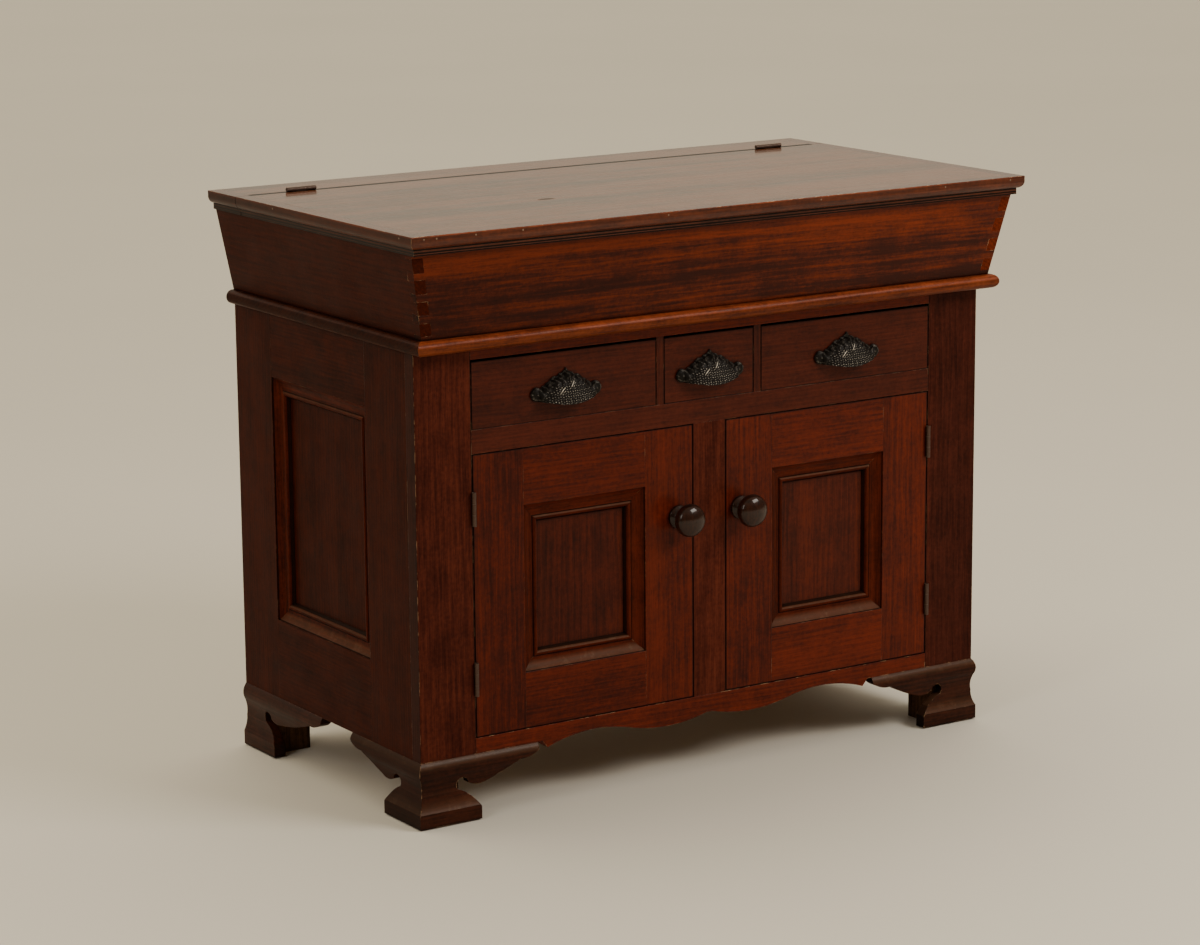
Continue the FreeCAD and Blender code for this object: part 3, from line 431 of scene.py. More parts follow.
class Board(Recipe):
    """The recipe of a wood. Each one starts at its own place in the same endless tree, and boards
    that lie side by side start again at the pitch."""
    count = 0

    def __init__(self, name, grain, pitch):
        super().__init__(name)
        Board.count += 1
        own_place = tuple(step * Board.count for step in (0.83, 0.37, 0.21))
        self.board = self.moved(grain.apply(self, (self.x, self.y, self.z)), own_place)
        if pitch:
            order = self.math("FLOOR", self.math("DIVIDE", self.x, pitch))
            jump = self.scaled(self.join(order, order, order), (1.7, 0.9, 1.3))
            self.board = self.moved(self.board, jump)
        facing = grain.apply(self, self.split(self.normal))
        self.end_grain = self.span(self.math("ABSOLUTE", self.split(facing)[0]), 0.75, 0.9)

    def along(self, run, across, detail, roughness):
        """Noise from -1 to 1, stretched along the grain."""
        return self.swing(self.scaled(self.board, (run, across, across)), 1.0, detail, roughness)

    def rings(self, gap):
        """Growth rings: the sine of the distance from a far-off heart line that slow noise bends."""
        _, across, deep = self.split(self.board)
        heart = self.math("ADD", self.times(across, 0.55), self.times(deep, 0.83))
        radius = self.math("MULTIPLY_ADD", self.along(*RING_BENDS), 0.03, heart)
        return self.math("SINE", self.times(radius, 2 * math.pi / gap))


def wood(name, dark, light, grain, gloss, bands=0.55, streaks=0.38, clouds=0.5, rings=0.08, curl=0.0,
         ends=0.55, roughness=0.45, shine=0.09, polish=0.18, wear=0.25, crease_shade=0.75, waves=0.0003,
         ripple=0.0, dust_and_sheen=0.0, stains=(), pitch=None):
    """Varnished wood between the dark tone and the light tone of two finishes. The tone is a sum of
    layers, each times its weight: wide bands, long streaks and fine fibres along the grain, growth
    rings, curl across it, and clouds and mottles of old stain. Short dark pores are pressed in, and
    ends shades the end grain. Edges are rubbed bare. Dust with a painted sheen lies on what looks up.
    Corners and creases hold painted shade, and stains darken or lighten their regions, some of them as
    painted shade or painted highlight. The plane has left waves, and the brush a ripple. shine is the
    reflection of the wood and polish the roughness of its varnish."""
    surface, colours = bpy.context.scene.wood_surface, bpy.context.scene.wood_colours
    board = Board(name, grain, pitch)

    fibre = board.along(*FIBRES)
    layers = ((board.along(*BANDS), bands), (board.along(*STREAKS), streaks),
              (board.swing(board.place, *CLOUDS), clouds), (board.swing(board.place, *MOTTLES), 0.38),
              (board.rings(surface.ring_gap), rings), (fibre, 0.5), (board.along(*CURLS), curl))
    tone = 0.5
    for layer, weight in layers:
        tone = board.math("MULTIPLY_ADD", layer, weight, tone)
    darkest, lightest = getattr(colours, f"{dark}_dark"), getattr(colours, f"{light}_light")
    tint = board.blend(board.span(tone, -0.2, 1.2), rgba(darkest), rgba(lightest))
    pore = board.span(board.along(*PORES), 0.20, 0.42)
    shade = board.times(board.span(pore, 0.0, 1.0, 1.0, 0.62),
                        board.span(board.end_grain, 0.0, 1.0, 1.0, ends))
    tint = board.multiply(tint, board.grey(shade))

    soft, edge = board.rounded(surface.arris)
    scuff = board.span(board.noise(board.place, *SCUFFS), 0.50, 0.64)
    tint = board.blend(board.times(board.times(edge, scuff), wear), tint, rgba(colours.wear))
    # Dust on ledges together with a painted sheen: faces that look up are lightened towards this colour.
    if dust_and_sheen:
        ledge = board.span(board.split(board.normal)[2], 0.05, 0.45, 0.0, dust_and_sheen)
        ledge_cover = board.times(ledge, board.span(scuff, 0.0, 1.0, 0.65, 1.0))
        tint = board.blend(ledge_cover, tint, rgba(colours.dust_and_sheen))
    # Painted shade: corners and creases that ambient occlusion finds within 12 mm darken the colour.
    open_air = board.add("ShaderNodeAmbientOcclusion", {"Distance": 12 * MM}, samples=6)
    shade_and_stains = board.span(open_air.outputs["AO"], 0.25, 0.95, 1.0 - crease_shade, 1.0)
    # Stains multiply in as well: real marks, and painted shade or painted highlight.
    for region, darker in stains:
        dull = board.span(region(board), 0.0, 1.0, 1.0, darker)
        shade_and_stains = board.times(shade_and_stains, dull)
        if darker < 1.0:
            gloss = board.times(board.math("POWER", dull, 3.0), gloss)
    tint = board.multiply(tint, board.grey(shade_and_stains))

    grit = board.math("SUBTRACT", board.times(fibre, 0.3), pore)
    planed = board.bump(board.along(*PLANE_WAVES), waves, soft)
    normal = board.bump(grit, 0.04 * MM, planed)
    brushed = board.bump(board.along(*BRUSH_MARKS), ripple, soft) if ripple else soft
    smudge = board.noise(board.place, *SMUDGES)
    rough = board.math("MULTIPLY_ADD", smudge, 0.2, roughness - 0.1)
    rough = board.math("MULTIPLY_ADD", board.end_grain, 0.2, rough)
    return board.finish(Base_Color=tint, Roughness=rough, Normal=normal, Specular_IOR_Level=shine,
                        Coat_Weight=gloss, Coat_Roughness=polish, Coat_Normal=brushed)


def iron(name, metal):
    """Old iron: brown patches of rust over the metal, brighter on rubbed edges."""
    recipe = Recipe(name)
    rust = recipe.span(recipe.noise(recipe.place, 260.0, detail=5.0, roughness=0.65), 0.4, 0.7)
    grain = recipe.noise(recipe.place, 1500.0, detail=2.0)
    tint = recipe.blend(rust, rgba(metal), (0.060, 0.022, 0.010, 1.0))
    soft, edge = recipe.rounded(0.5 * MM)
    tint = recipe.blend(recipe.times(edge, 0.7), tint, (0.22, 0.17, 0.13, 1.0))
    rough = recipe.math("MULTIPLY_ADD", rust, 0.3, 0.34)
    bare = recipe.math("MULTIPLY_ADD", rust, -0.4, 0.6)
    return recipe.finish(Base_Color=tint, Roughness=rough, Metallic=bare,
                         Normal=recipe.bump(grain, 0.08 * MM, soft))


def cast_metal(name):
    """Cast pull metal: black in the hollows and grey where fingers rub it. The relief attribute of
    the mesh is its height."""
    hardware = bpy.context.scene.hardware
    recipe = Recipe(name)
    height = recipe.add("ShaderNodeAttribute", attribute_name="relief").outputs["Fac"]
    pits = recipe.noise(recipe.place, 900.0, detail=4.0, roughness=0.7)
    high = recipe.math("MULTIPLY_ADD", recipe.math("SUBTRACT", pits, 0.5), 0.9, height)
    bare = recipe.span(high, 0.50, 1.05)
    tint = recipe.blend(bare, rgba(hardware.casting), rgba(hardware.rubbed))
    rough = recipe.math("MULTIPLY_ADD", bare, -0.16, 0.46)
    return recipe.finish(Base_Color=tint, Roughness=rough, Metallic=0.25,
                         Normal=recipe.bump(pits, 0.25 * MM), Specular_IOR_Level=0.15)


def paint(material, *names):
    """Give CAD nodes this material instead of the plain one of their slot."""
    for name in names:
        for slot in NODES[name].material_slots:
            slot.material = material


# ---- meshes worked out with numpy
def grid_faces(rows, columns):
    """Quads between the points of a grid that is numbered row by row."""
    first = np.arange(rows - 1)[:, None] * columns + np.arange(columns - 1)[None, :]
    corners = [first, first + 1, first + columns + 1, first + columns]
    return np.stack(corners, axis=-1).reshape(-1, 4)


def piece(name, points, faces, body, material):
    """A smooth mesh object in the row frame that rides on a body."""
    mesh = bpy.data.meshes.new(name)
    mesh.from_pydata(points.reshape(-1, 3).tolist(), [], faces.tolist())
    mesh.polygons.foreach_set("use_smooth", np.ones(len(faces), bool))
    mesh.materials.append(material)
    made = bpy.data.objects.new(name, mesh)
    bpy.context.scene.collection.objects.link(made)
    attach(made, body)
    return made


def disc(radius, dome, slot_half=0.0, slot_depth=0.0):
    """A low round head on the plane z = 0: a square grid is eased onto a disc, with x = s times the
    root of 1 - t squared / 2, and y = t times the root of 1 - s squared / 2. It rises by dome times
    1 - r squared, and the slot is a straight channel through it. Its rim goes under the plane."""
    flank = slot_half + 0.06
    slotted, plain = np.array([slot_half, flank, 0.45, 0.72, 0.92, 1.0]), np.linspace(0.0, 1.0, 5)
    half = slotted if slot_half else plain
    steps = np.unique(np.concatenate([-half, half]))
    s, t = np.meshgrid(steps, np.linspace(-1.0, 1.0, 9))
    x, y = s * np.sqrt(1 - t ** 2 / 2), t * np.sqrt(1 - s ** 2 / 2)
    reach = np.clip(x ** 2 + y ** 2, 0, 1)
    z = dome * (1 - reach) - slot_depth * (np.abs(s) <= slot_half) * (slot_half > 0)
    z = np.where(np.maximum(np.abs(s), np.abs(t)) > 0.999, -dome - slot_depth, z)
    return np.stack([x * radius, y * radius, z], axis=-1), grid_faces(*s.shape)


def stamped(shape, centres, across, up):
    """Copies of one shape at each centre; its x, y and z follow across, up and their cross
    product."""
    points, faces = shape
    axes = np.array([across, up, np.cross(across, up)], float)
    flat = points.reshape(-1, 3) @ axes
    centres = np.asarray(centres, float)
    every = centres[:, None, :] + flat[None, :, :]
    numbers = faces[None] + np.arange(len(centres))[:, None, None] * len(flat)
    return every, numbers.reshape(-1, 4)


def slotted_heads(name, centres, across, up, body, material):
    """Screw heads on a hinge leaf, each a low disc with a slot across it."""
    radius = bpy.context.scene.hardware.screw_radius
    head = disc(radius, 0.06 * MM, slot_half=0.13, slot_depth=0.5 * MM)
    points, faces = stamped(head, centres, across, up)
    return piece(name, points, faces, body, material)


def pull_edges(away, half, top, boss_x, boss_z, boss):
    """Lower and upper edge of a pull at each distance from its middle. The upper one steps down
    over the tips of the leaves, and the lower one is a belly, 0.86 + 0.11 cos of the distance. Past
    the middle of the round boss at each side, both are its circle, a little drawn out upright."""
    round_end = np.sqrt(np.clip(boss ** 2 - (away - boss_x) ** 2, 0, None)) * 1.12
    tips = np.interp(away, LEAF_TIPS[0] * half, LEAF_TIPS[1] * top)
    belly = -top * (0.86 + 0.11 * np.cos(np.clip(away / boss_x, 0, 1) * math.pi))
    inner = away < boss_x
    lower, upper = boss_z - round_end, boss_z + round_end
    return (np.where(inner, np.minimum(belly, lower), lower), np.where(inner, np.maximum(tips, upper), upper))


def pull_bars(x, z, half, top):
    """Two small windows with slanting bars in them. A window is the exponential of minus the fourth
    powers of the distances along and across it, and the bars are a cosine across it."""
    bar = 3.4 * MM
    window = bars = np.zeros_like(x)
    for lean, bar_x, bar_z in ((0.80, half * 0.04, top * 0.12), (0.72, -half * 0.26, -top * 0.18)):
        run = (x - bar_x) * math.cos(lean) + (z - bar_z) * math.sin(lean)
        over = (z - bar_z) * math.cos(lean) - (x - bar_x) * math.sin(lean)
        here = np.exp(-(run / (7 * MM)) ** 4 - (over / (3.4 * MM)) ** 4)
        window = np.maximum(window, here)
        bars = np.maximum(bars, (0.5 + 0.5 * np.cos(2 * math.pi * over / bar)) * here)
    return window, bars


def casting_surface(width, height, reach, relief, leaves):
    """Front of a cast pull as a grid: u runs across it, and v from its lower to its upper edge. The
    cup stands out by its reach times the root of 1 - (distance / cup) to the power 2.6, and leans
    back to the plate as 1 - climb to the power 1.7, where climb is the height over the lower edge
    as a share of the whole. Pebbles lie on the cup as two crossed cosines, leaves fan out over the
    plate as the cosine of an angle, rings lie round each boss, and the edge is rolled. The rim folds
    back to the wood, but for the cup's lip. Returns points, and how high the relief is at each."""
    half, top = width / 2, height / 2
    u, v = np.meshgrid(np.linspace(-1, 1, 241), np.linspace(0, 1, 91))
    spread = math.pi / 2 * 0.985
    x = half * np.sin(u * spread) / math.sin(spread)
    away = np.abs(x)
    boss_x, boss_z, boss = half * 0.848, -top * 0.36, half * 0.152
    lower, upper = pull_edges(away, half, top, boss_x, boss_z, boss)
    z = lower + (upper - lower) * v

    cup_x = half * 0.82
    flat = np.clip(1 - (away / cup_x) ** 2.6, 0, None)
    climb = np.clip((z + top) / np.maximum((upper + top) * 0.95, 1 * MM), 0, None)
    lean_back = np.clip(1 - climb ** 1.7, 0, None) ** 0.6
    bulge = (reach - relief * 2.2) * np.sqrt(flat) * lean_back
    on_cup = np.sqrt(flat) / (1 + np.exp((climb - 0.74) * 18))

    pebble = 4.2 * MM
    across = x + 0.9 * MM * np.sin(z * 900.0)
    along = z + 0.8 * MM * np.sin(x * 700.0)
    crossed = np.cos(2 * math.pi * across / pebble) + np.cos(2.4 * math.pi * along / pebble)
    uneven = np.sin(x * 1130.0 + z * 610.0) * np.sin(z * 1490.0 - x * 370.0)
    pebbles = (0.5 + 0.25 * crossed) ** 1.2 * (0.84 + 0.22 * uneven)
    turn = np.arctan2(x, z + top * 2.1)
    fan = np.abs(np.cos(turn * leaves * 1.9 + 0.8 * np.sin(z * 700.0)))
    window, bars = pull_bars(x, z, half, top)
    rolled = np.exp(-np.minimum(upper - z, z - lower) / (1.3 * MM))
    from_boss = np.hypot(away - boss_x, z - boss_z)
    on_boss = np.exp(-(from_boss / (boss * 0.95)) ** 4)
    ringed = 0.36 + 0.3 * np.cos(2 * math.pi * from_boss / (boss * 0.9))
    pattern = (1 - on_cup) * (0.22 + 0.36 * fan) + on_cup * pebbles
    pattern = pattern * (1 - window) + window * 0.1 + bars
    pattern = np.maximum(pattern * (1 - on_boss) + on_boss * ringed, rolled * 0.5)

    plate, boss_rise = 2.2 * MM, 4.5 * MM
    y = -(plate + bulge + on_boss * boss_rise + relief * pattern)
    rim = (v == 1) | (np.abs(u) == 1) | ((v == 0) & (bulge < relief))
    y = np.where(rim, 0.0, y)
    return np.stack([x, y, z], axis=-1), pattern


def turn_out(points, faces, towards):
    """Faces wound so that the middle one looks in the wanted direction."""
    a, b, c = (points.reshape(-1, 3)[corner] for corner in faces[len(faces) // 2][:3])
    return faces if np.dot(np.cross(b - a, c - a), towards) > 0 else faces[:, ::-1]


# ---- operators, one for each group
class CabinetStep(bpy.types.Operator):
    """One step of dressing the cabinet"""
    bl_options = {"REGISTER", "UNDO"}


class FinishCase(CabinetStep):
    """Varnish the face frame, the side frames, their panels and mouldings"""
    bl_idname = "dry_sink.finish_case"
    bl_label = "Case finish"

    def execute(self, context):
        gloss = context.scene.wood_surface.case_gloss
        far_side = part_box("front_stiles")[1].x
        darker_right = (fade("x", far_side * 0.75, far_side * 0.9), 0.6)
        # Painted shade on the stiles beside the doors' gaps.
        door_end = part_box("right_door_stiles")[1].x
        door_gap_shade = [(slab("x", end - 3 * MM, end + 3 * MM), 0.3) for end in (-door_end, door_end)]
        # Painted shade on the stiles' faces that look sideways, beside the doors' gaps and towards the left.
        paint(wood("case upright", "case", "post", Grain("z"), 0.0, shine=0.06, wear=1.6,
                   stains=[(shaded_flanks, 0.42), darker_right, PAINTED_LEFT_SHADE, *door_gap_shade]), "front_stiles")
        # Painted shade along the centre stile's gaps; the left darkens as painted shade.
        paint(wood("centre stile", "case", "post", Grain("z"), 0.0, shine=0.06,
                   stains=[PAINTED_LEFT_SHADE, *gap_shade("centre_stile", "x")]), "centre_stile")
        paint(wood("case level", "case", "case", Grain("x"), gloss), "top_rail")
        paint(wood("apron", "case", "case", Grain("x"), gloss, wear=1.0), "apron_rail")
        paint(wood("drawer rail", "panel", "drawer", Grain("x"), gloss), "drawer_rail")
        paint(wood("divider", "panel", "drawer", Grain("z"), gloss), "drawer_dividers")
        dull = {"gloss": 0.0, "shine": 0.04, "bands": 0.35}
        for side in SIDES:
            moulding = f"{side}_side_moulding"
            low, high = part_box(moulding)
            rails_between = Grain("z", "y", slab("y", low.y, high.y))
            paint(wood(f"{side} side frame", "side", "side", rails_between, **dull), f"{side}_side_frame")
            paint(wood(f"{side} side panel", "side", "side", Grain("z"), **dull), f"{side}_side_panel")
            sticks = Grain("z", "y", mitred(moulding, "y", "z"))
            # Painted shade lines in the moulding's seams, and dust with a painted sheen on its ledges.
            paint(wood(f"{side} side moulding", "side", "panel", sticks, dust_and_sheen=0.4,
                       stains=moulding_shade_lines(moulding, "y", "z"), **dull), moulding)
        return {"FINISHED"}


class FinishDoors(CabinetStep):
    """Varnish the doors' stiles, rails, panels, mouldings and turn buttons"""
    bl_idname = "dry_sink.finish_doors"
    bl_label = "Door finish"

    def execute(self, context):
        gloss = context.scene.wood_surface.case_gloss
        for side in SIDES:
            stiles, rails = f"{side}_door_stiles", f"{side}_door_rails"
            # Painted shade runs along the ends of each door, and darkens the left.
            paint(wood(f"{side} door stiles", "case", "case", Grain("z"), gloss,
                       stains=[PAINTED_LEFT_SHADE, *gap_shade(stiles, "x", "z")]), stiles)
            paint(wood(f"{side} door rails", "case", "case", Grain("x"), gloss,
                       stains=[PAINTED_LEFT_SHADE, *gap_shade(rails, "z")]), rails)
            paint(wood(f"{side} door panel", "panel", "panel", Grain("z"), gloss,
                       stains=[PAINTED_LEFT_SHADE]), f"{side}_door_panel")
            moulding = f"{side}_door_moulding"
            sticks = Grain("z", "x", mitred(moulding, "x", "z"))
            # Painted shade lines in the moulding's seams, and dust with a painted sheen on its ledges.
            paint(wood(f"{side} door moulding", "panel", "panel", sticks, 0.0, shine=0.05, dust_and_sheen=0.55,
                       wear=0.5, stains=moulding_shade_lines(moulding, "x", "z")), moulding)
            paint(wood(f"{side} turn button", "case", "case", Grain("z"), 0.1), f"{side}_turn_button")
        return {"FINISHED"}


class FinishDrawers(CabinetStep):
    """Varnish the drawer fronts and leave their boxes bare"""
    bl_idname = "dry_sink.finish_drawers"
    bl_label = "Drawer finish"

    def execute(self, context):
        surface = context.scene.wood_surface
        for name in DRAWERS:
            front = f"{name}_drawer_front"
            # Painted shade runs along the ends of each drawer front.
            paint(wood(f"{name} drawer front", "panel", "drawer", Grain("x"), surface.case_gloss,
                       stains=gap_shade(front, "x", "z")), front)
            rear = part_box(f"{name}_drawer_box")[1].y
            across_back = Grain("y", "x", slab("y", rear - DRAWER_BACK, rear + MM))
            paint(wood(f"{name} drawer box", "inside", "inside", across_back, surface.inside_gloss,
                       roughness=0.62, wear=0.1), f"{name}_drawer_box")
            paint(wood(f"{name} drawer bottom", "inside", "inside", Grain("x"), surface.inside_gloss,
                       roughness=0.66, wear=0.0), f"{name}_drawer_bottom")
        return {"FINISHED"}


class FinishWell(CabinetStep):
    """Varnish the splayed well and its bull-nosed floor"""
    bl_idname = "dry_sink.finish_well"
    bl_label = "Well finish"

    def execute(self, context):
        gloss = context.scene.wood_surface.case_gloss
        # Painted shade: the well's front and the ends of its sides darken towards the left.
        shade_to_left = fade("x", 0.5, -0.6)
        paint(wood("well front", "well", "well", Grain("x"), gloss, bands=1.2, streaks=1.3, clouds=0.45,
                   curl=0.12, ends=0.4, wear=1.0,
                   stains=[(shade_to_left, 0.74), (knot(KNOT_IN_FRONT, 7 * MM), 0.3)]), "well_front")
        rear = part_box("well_sides")[1].y
        paint(wood("well sides", "side", "side", Grain("y"), 0.0, bands=0.1, streaks=0.15, clouds=0.2,
                   ends=3.2, shine=0.04, wear=0.6,
                   stains=[(both(faces_front, shade_to_left), 0.36), (plane("y", rear), 0.18)]), "well_sides")
        paint(wood("well back", "side", "side", Grain("x"), gloss), "well_back")
        low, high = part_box("well_floor")
        bead_ends = (corner_sides(high.x, low.y, 30 * MM), 0.35)
        # Painted highlight: the upper front of the bull-nose is lightened.
        painted_nose_highlight = (both(rounded_top, slab("y", low.y - MM, low.y + 12 * MM)), 1.7)
        paint(wood("well floor", "case", "bead", Grain("x"), gloss, shine=0.08, wear=1.0,
                   stains=[bead_ends, painted_nose_highlight, (plane("y", high.y), 0.35)]), "well_floor")
        return {"FINISHED"}


class FinishLid(CabinetStep):
    """Varnish the lid, its edge moulding and the rail that it hinges on"""
    bl_idname = "dry_sink.finish_lid"
    bl_label = "Lid finish"

    def execute(self, context):
        gloss = context.scene.wood_surface.lid_gloss
        varnish = {"roughness": 0.36, "shine": 0.12, "polish": 0.09, "waves": 0.0001, "ripple": 0.0003}
        # Painted shade: a dark band along the seam between the lid and its rail, and on the lid's faces that
        # don't look up.
        seam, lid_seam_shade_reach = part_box("hinge_rail")[0].y, 6.5 * MM
        lid_seam_shade = (slab("y", seam - lid_seam_shade_reach, seam + lid_seam_shade_reach), 0.03)
        paint(wood("lid boards", "lid", "lid", Grain("x"), gloss, bands=1.4, streaks=1.3, clouds=0.7,
                   stains=[lid_seam_shade, (knot(KNOT_IN_LID, 9 * MM), 0.12), (below_top, 0.35)], **varnish),
              "lid_board", "hinge_rail")
        low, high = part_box("lid_moulding")
        round_front = Grain("x", "y", corner_sides(high.x, low.y))
        # Painted highlight along the top arris of the lid's edge.
        painted_arris_highlight = (both(below_top, slab("z", high.z - 2 * MM, high.z + MM)), 2.2)
        # Painted shade: dark lines in the grooves of the lid's edge.
        groove_shade_lines = [(slab("z", high.z - (drop + 1.2) * MM, high.z - (drop - 1.2) * MM), 0.05)
                  for drop in LID_EDGE_SEAMS]
        # Painted shade on the edge's faces that don't look up or that look sideways.
        paint(wood("lid edge", "case", "bead", round_front, gloss, wear=1.0,
                   stains=[(below_top, 0.70), (shaded_flanks, 0.5), painted_arris_highlight, *groove_shade_lines], **varnish),
              "lid_moulding", "hinge_rail_ends")
        return {"FINISHED"}


class FinishFeet(CabinetStep):
    """Varnish the bracket feet and leave their inner blocks bare"""
    bl_idname = "dry_sink.finish_feet"
    bl_label = "Foot finish"

    def execute(self, context):
        surface = context.scene.wood_surface
        low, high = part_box("front_right_foot")
        round_front = Grain("x", "y", corner_sides(high.x, low.y))
        # Painted shade on the feet's faces that look sideways, and dust with a painted sheen on their tops.
        paint(wood("front feet", "foot", "foot", round_front, 0.06, roughness=0.36, shine=0.06, dust_and_sheen=0.45,
                   wear=1.5, stains=[(shaded_flanks, 0.5)]), "front_left_foot", "front_right_foot")
        block_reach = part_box("foot_blocks")[1].x
        brackets_behind = Grain("y", "x", slab("x", -block_reach, block_reach))
        paint(wood("rear feet", "foot", "foot", brackets_behind, 0.05), "rear_left_foot", "rear_right_foot")
        paint(wood("foot blocks", "foot", "block", Grain("z"), surface.inside_gloss,
                   roughness=0.7), "foot_blocks")
        return {"FINISHED"}


class FinishInside(CabinetStep):
    """Plain boards that a closed cabinet hides, and the back"""
    bl_idname = "dry_sink.finish_inside"
    bl_label = "Inner boards"

    def execute(self, context):
        gloss = context.scene.wood_surface.inside_gloss
        paint(wood("inner boards", "inside", "inside", Grain("x"), gloss, roughness=0.62,
                   wear=0.1), "case_floor", "cupboard_shelf")
        paint(wood("runners and cleats", "inside", "inside", Grain("y"), gloss, roughness=0.66,
                   wear=0.1), "drawer_runners", "shelf_cleats")
        low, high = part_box("back_boards")
        paint(wood("back boards", "back", "back", Grain("z"), gloss, roughness=0.72, wear=0.2,
                   pitch=(high.x - low.x) / BACK_BOARDS), "back_boards")
        return {"FINISHED"}


class FinishKnobs(CabinetStep):
    """Polish the turned knobs"""
    bl_idname = "dry_sink.finish_knobs"
    bl_label = "Knob finish"

    def execute(self, context):
        gloss = context.scene.wood_surface.knob_gloss
        paint(wood("knob", "knob", "knob", Grain("z"), gloss, roughness=0.3, shine=0.08, polish=0.07,
                   wear=0.1, waves=0.0001), "left_knob", "right_knob")
        return {"FINISHED"}


class FinishHinges(CabinetStep):
    """Iron for the butt hinges, with slotted screw heads in their leaves"""
    bl_idname = "dry_sink.finish_hinges"
    bl_label = "Hinges and screws"

    @staticmethod
    def screw_places(first, last):
        """Three places along each of two butts, between the ends of both on their axis."""
        return [end + sign * BUTT_LENGTH / 2 + step for end, sign in ((first, 1), (last, -1))
                for step in (-SCREW_STEP, 0, SCREW_STEP)]

    def execute(self, context):
        metal = iron("hinge iron", context.scene.hardware.iron)
        paint(metal, "door_hinge_case_leaves", "left_door_hinge_leaves", "right_door_hinge_leaves",
              "lid_hinge_rail_leaves", "lid_hinge_leaves")
        play = 0.1 * MM
        low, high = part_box("left_door_hinge_leaves")
        heights = self.screw_places(low.z, high.z)
        leaf_y = (low.y + BARREL_DEPTH + high.y) / 2
        for sign, side in zip((-1, 1), SIDES):
            pin_x = sign * (abs(low.x + high.x) / 2)
            outer = [(pin_x + sign * play, leaf_y, z) for z in heights]
            inner = [(pin_x - sign * play, leaf_y, z) for z in heights]
            slotted_heads(f"{side}_case_leaf_screws", outer, (0, sign, 0), (0, 0, -1), "root", metal)
            slotted_heads(f"{side}_door_leaf_screws", inner, (0, sign, 0), (0, 0, 1), f"{side}_door", metal)
        low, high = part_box("lid_hinge_leaves")
        reaches = self.screw_places(low.x, high.x)
        leaf_z = (low.z + high.z - BARREL_DEPTH) / 2
        pin_y = (low.y + high.y) / 2
        slotted_heads("rail_leaf_screws", [(x, pin_y + play, leaf_z) for x in reaches], (1, 0, 0),
                      (0, 0, 1), "root", metal)
        slotted_heads("lid_leaf_screws", [(x, pin_y - play, leaf_z) for x in reaches], (-1, 0, 0),
                      (0, 0, 1), "lid", metal)
        return {"FINISHED"}


class CastPulls(CabinetStep):
    """The three cast pulls, each with leaves in relief over a hollow cup"""
    bl_idname = "dry_sink.cast_pulls"
    bl_label = "Cast pulls"

    def execute(self, context):
        hardware = context.scene.hardware
        metal = cast_metal("pull metal")
        for name in DRAWERS:
            node = f"{name}_drawer_pull"
            low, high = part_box(node)
            width, depth, height = high - low
            surface, pattern = casting_surface(width, height, depth, hardware.relief, hardware.leaves)
            middle = np.array([(low.x + high.x) / 2, high.y, (low.z + high.z) / 2])
            faces = turn_out(surface, grid_faces(*pattern.shape), (0, -1, 0))
            made = piece(f"{name}_pull_casting", surface + middle, faces, f"{name}_drawer",
                         metal)
            relief = made.data.attributes.new("relief", "FLOAT", "POINT")
            relief.data.foreach_set("value", pattern.astype(np.float32).ravel())
            wall = made.modifiers.new("wall", "SOLIDIFY")
            wall.thickness = hardware.casting_wall
            wall.offset = -1.0
            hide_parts(node)
        return {"FINISHED"}


class DriveNails(CabinetStep):
    """Filled nail holes in the lid's edge"""
    bl_idname = "dry_sink.drive_nails"
    bl_label = "Nails"

    def execute(self, context):
        hardware = context.scene.hardware
        metal = iron("nail iron", hardware.nail)
        head = disc(hardware.nail_radius, 0.15 * MM)
        low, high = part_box("lid_moulding")
        z = high.z - NAIL_DROP
        front = [(x, low.y, z) for x in FRONT_NAILS_X]
        left, right = ([(x, y, z) for y in SIDE_NAILS_Y] for x in (low.x, high.x))
        for name, places, across in (("front", front, (1, 0, 0)), ("left", left, (0, -1, 0)),
                                     ("right", right, (0, 1, 0))):
            points, faces = stamped(head, places, across, (0, 0, 1))
            piece(f"lid_{name}_nails", points, faces, "lid", metal)
        return {"FINISHED"}


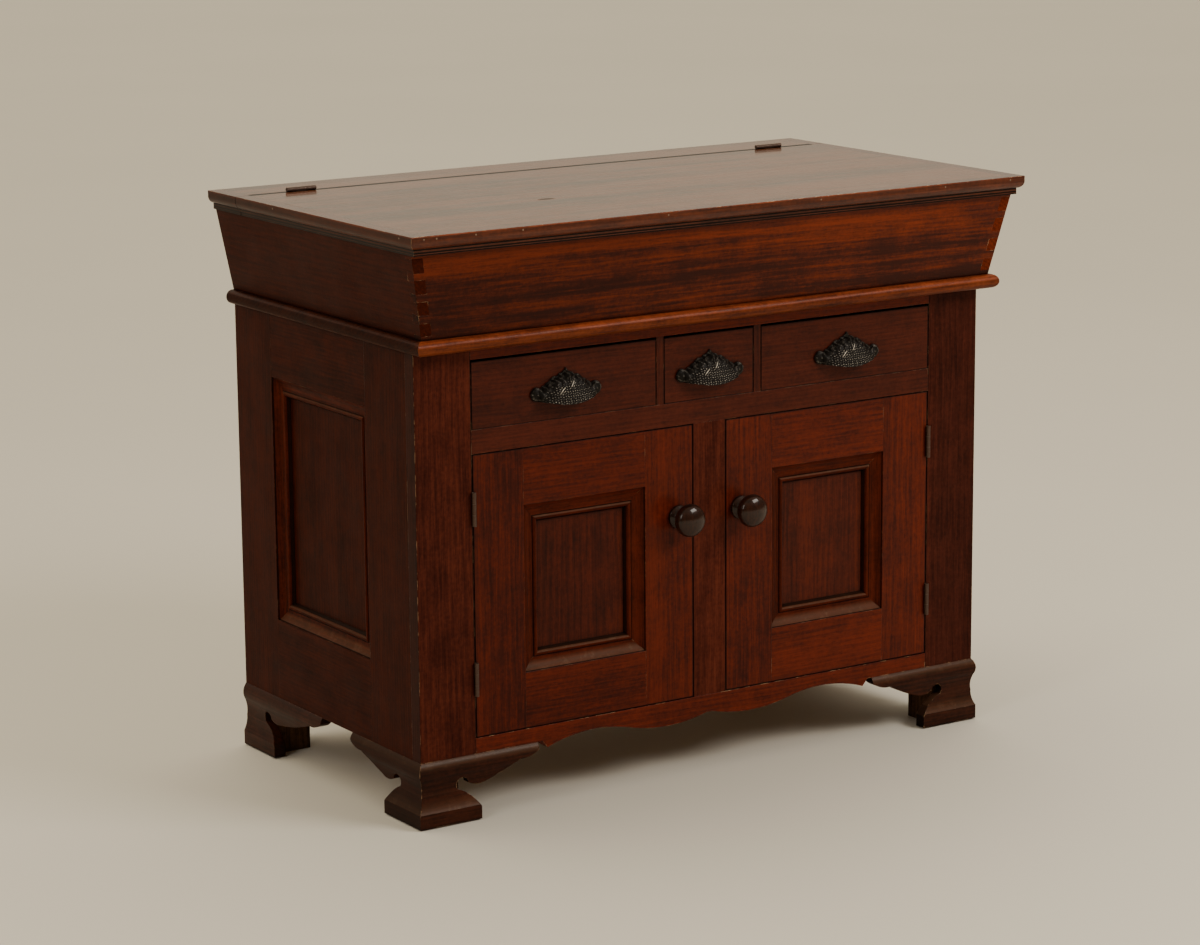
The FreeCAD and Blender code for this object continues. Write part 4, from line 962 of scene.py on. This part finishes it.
class SetStudio(CabinetStep):
    """Pale floor, soft lights and the camera"""
    bl_idname = "dry_sink.set_studio"
    bl_label = "Studio"

    def execute(self, context):
        scene = context.scene
        self.lay_floor(scene, scene.studio)
        self.fill_air(scene, scene.studio)
        self.hang_lamps(scene, scene.studio)
        self.stand_camera(scene, scene.studio)
        return {"FINISHED"}

    def lay_floor(self, scene, studio):
        """A flat grid under everything, with a faint cloudiness."""
        steps = np.linspace(-60, 60, 5)
        x, y = np.meshgrid(steps, steps)
        points = np.stack([x, y, x * 0], -1).reshape(-1, 3)
        mesh = bpy.data.meshes.new("studio_floor")
        mesh.from_pydata(points.tolist(), [], grid_faces(*x.shape).tolist())
        recipe = Recipe("studio floor")
        cloud = recipe.span(recipe.noise(recipe.place, 0.7, detail=3.0), 0.2, 0.8, 0.97, 1.0)
        tint = recipe.multiply(rgba(studio.floor), recipe.grey(cloud))
        mesh.materials.append(recipe.finish(Base_Color=tint, Roughness=0.75))
        floor = bpy.data.objects.new("studio_floor", mesh)
        scene.collection.objects.link(floor)

    def fill_air(self, scene, studio):
        """Even light all round: weaker from the camera's side, and stronger from overhead."""
        scene.world = bpy.data.worlds.new("studio air")
        scene.world.use_nodes = True
        sky = Shaders(scene.world.node_tree)
        _, y, z = sky.split(sky.add("ShaderNodeTexCoord").outputs["Generated"])
        strength = sky.times(sky.span(y, -0.35, 0.6, studio.near_share, 1.0),
                             sky.span(z, 0.1, 0.85, studio.low_strength, studio.high_strength))
        air = sky.add("ShaderNodeBackground", {"Color": rgba(studio.air), "Strength": strength})
        sky.add("ShaderNodeOutputWorld", {"Surface": air.outputs[0]})

    def hang_lamps(self, scene, studio):
        """A broad soft lamp in front and a weaker one at the left, both turned to the cabinet."""
        target = Vector((0.0, 0.0, 0.5))
        lamps = (("key", (2.4, -3.6, 3.4), 2.4, 1.6, studio.key_power),
                 ("side", (-4.2, -1.6, 2.6), 1.2, 2.0, studio.side_power))
        for name, place, width, height, power in lamps:
            lamp = bpy.data.lights.new(name, "AREA")
            lamp.shape = "RECTANGLE"
            lamp.size, lamp.size_y = width, height
            lamp.energy = power
            lamp.color = studio.lamp
            holder = bpy.data.objects.new(name, lamp)
            holder.location = place
            aim = (target - Vector(place)).to_track_quat("-Z", "Y")
            holder.rotation_euler = aim.to_euler()
            scene.collection.objects.link(holder)

    def stand_camera(self, scene, studio):
        """The lens looks along heading and tilt, then leans by roll."""
        lens = bpy.data.cameras.new("corner view")
        lens.lens = studio.lens
        lens.sensor_width = 36.0
        lens.sensor_fit = "HORIZONTAL"
        lens.clip_end = 200.0
        camera = bpy.data.objects.new("camera", lens)
        turn = (Matrix.Rotation(-studio.heading, 4, "Z")
                @ Matrix.Rotation(math.pi / 2 - studio.tilt, 4, "X") @ Matrix.Rotation(studio.roll, 4, "Z"))
        camera.matrix_world = Matrix.Translation(studio.eye) @ turn
        scene.collection.objects.link(camera)
        scene.camera = camera


SETTINGS = {"wood_colours": WoodColours, "wood_surface": WoodSurface, "hardware": Hardware, "studio": Studio}
STEPS = (FinishCase, FinishDoors, FinishDrawers, FinishWell, FinishLid, FinishFeet, FinishInside,
         FinishKnobs, FinishHinges, CastPulls, DriveNails, SetStudio)


class DRYSINK_PT_steps(bpy.types.Panel):
    """Steps and settings of the dry sink"""
    bl_idname = "DRYSINK_PT_steps"
    bl_label = "Dry sink"
    bl_space_type = "VIEW_3D"
    bl_region_type = "UI"
    bl_category = "Dry Sink"

    def draw(self, context):
        for step in STEPS:
            self.layout.operator(step.bl_idname)
        for name, group in SETTINGS.items():
            box = self.layout.box()
            for setting in group.__annotations__:
                box.prop(getattr(context.scene, name), setting)


def register():
    for name, group in SETTINGS.items():
        bpy.utils.register_class(group)
        setattr(bpy.types.Scene, name, PointerProperty(type=group))
    for step in STEPS:
        bpy.utils.register_class(step)
    bpy.utils.register_class(DRYSINK_PT_steps)


def unregister():
    bpy.utils.unregister_class(DRYSINK_PT_steps)
    for step in reversed(STEPS):
        bpy.utils.unregister_class(step)
    for name, group in reversed(SETTINGS.items()):
        delattr(bpy.types.Scene, name)
        bpy.utils.unregister_class(group)


def main():
    register()
    for step in STEPS:
        action = step.bl_idname.partition(".")[2]
        getattr(bpy.ops.dry_sink, action)()
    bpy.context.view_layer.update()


if __name__ == "__main__":
    main()
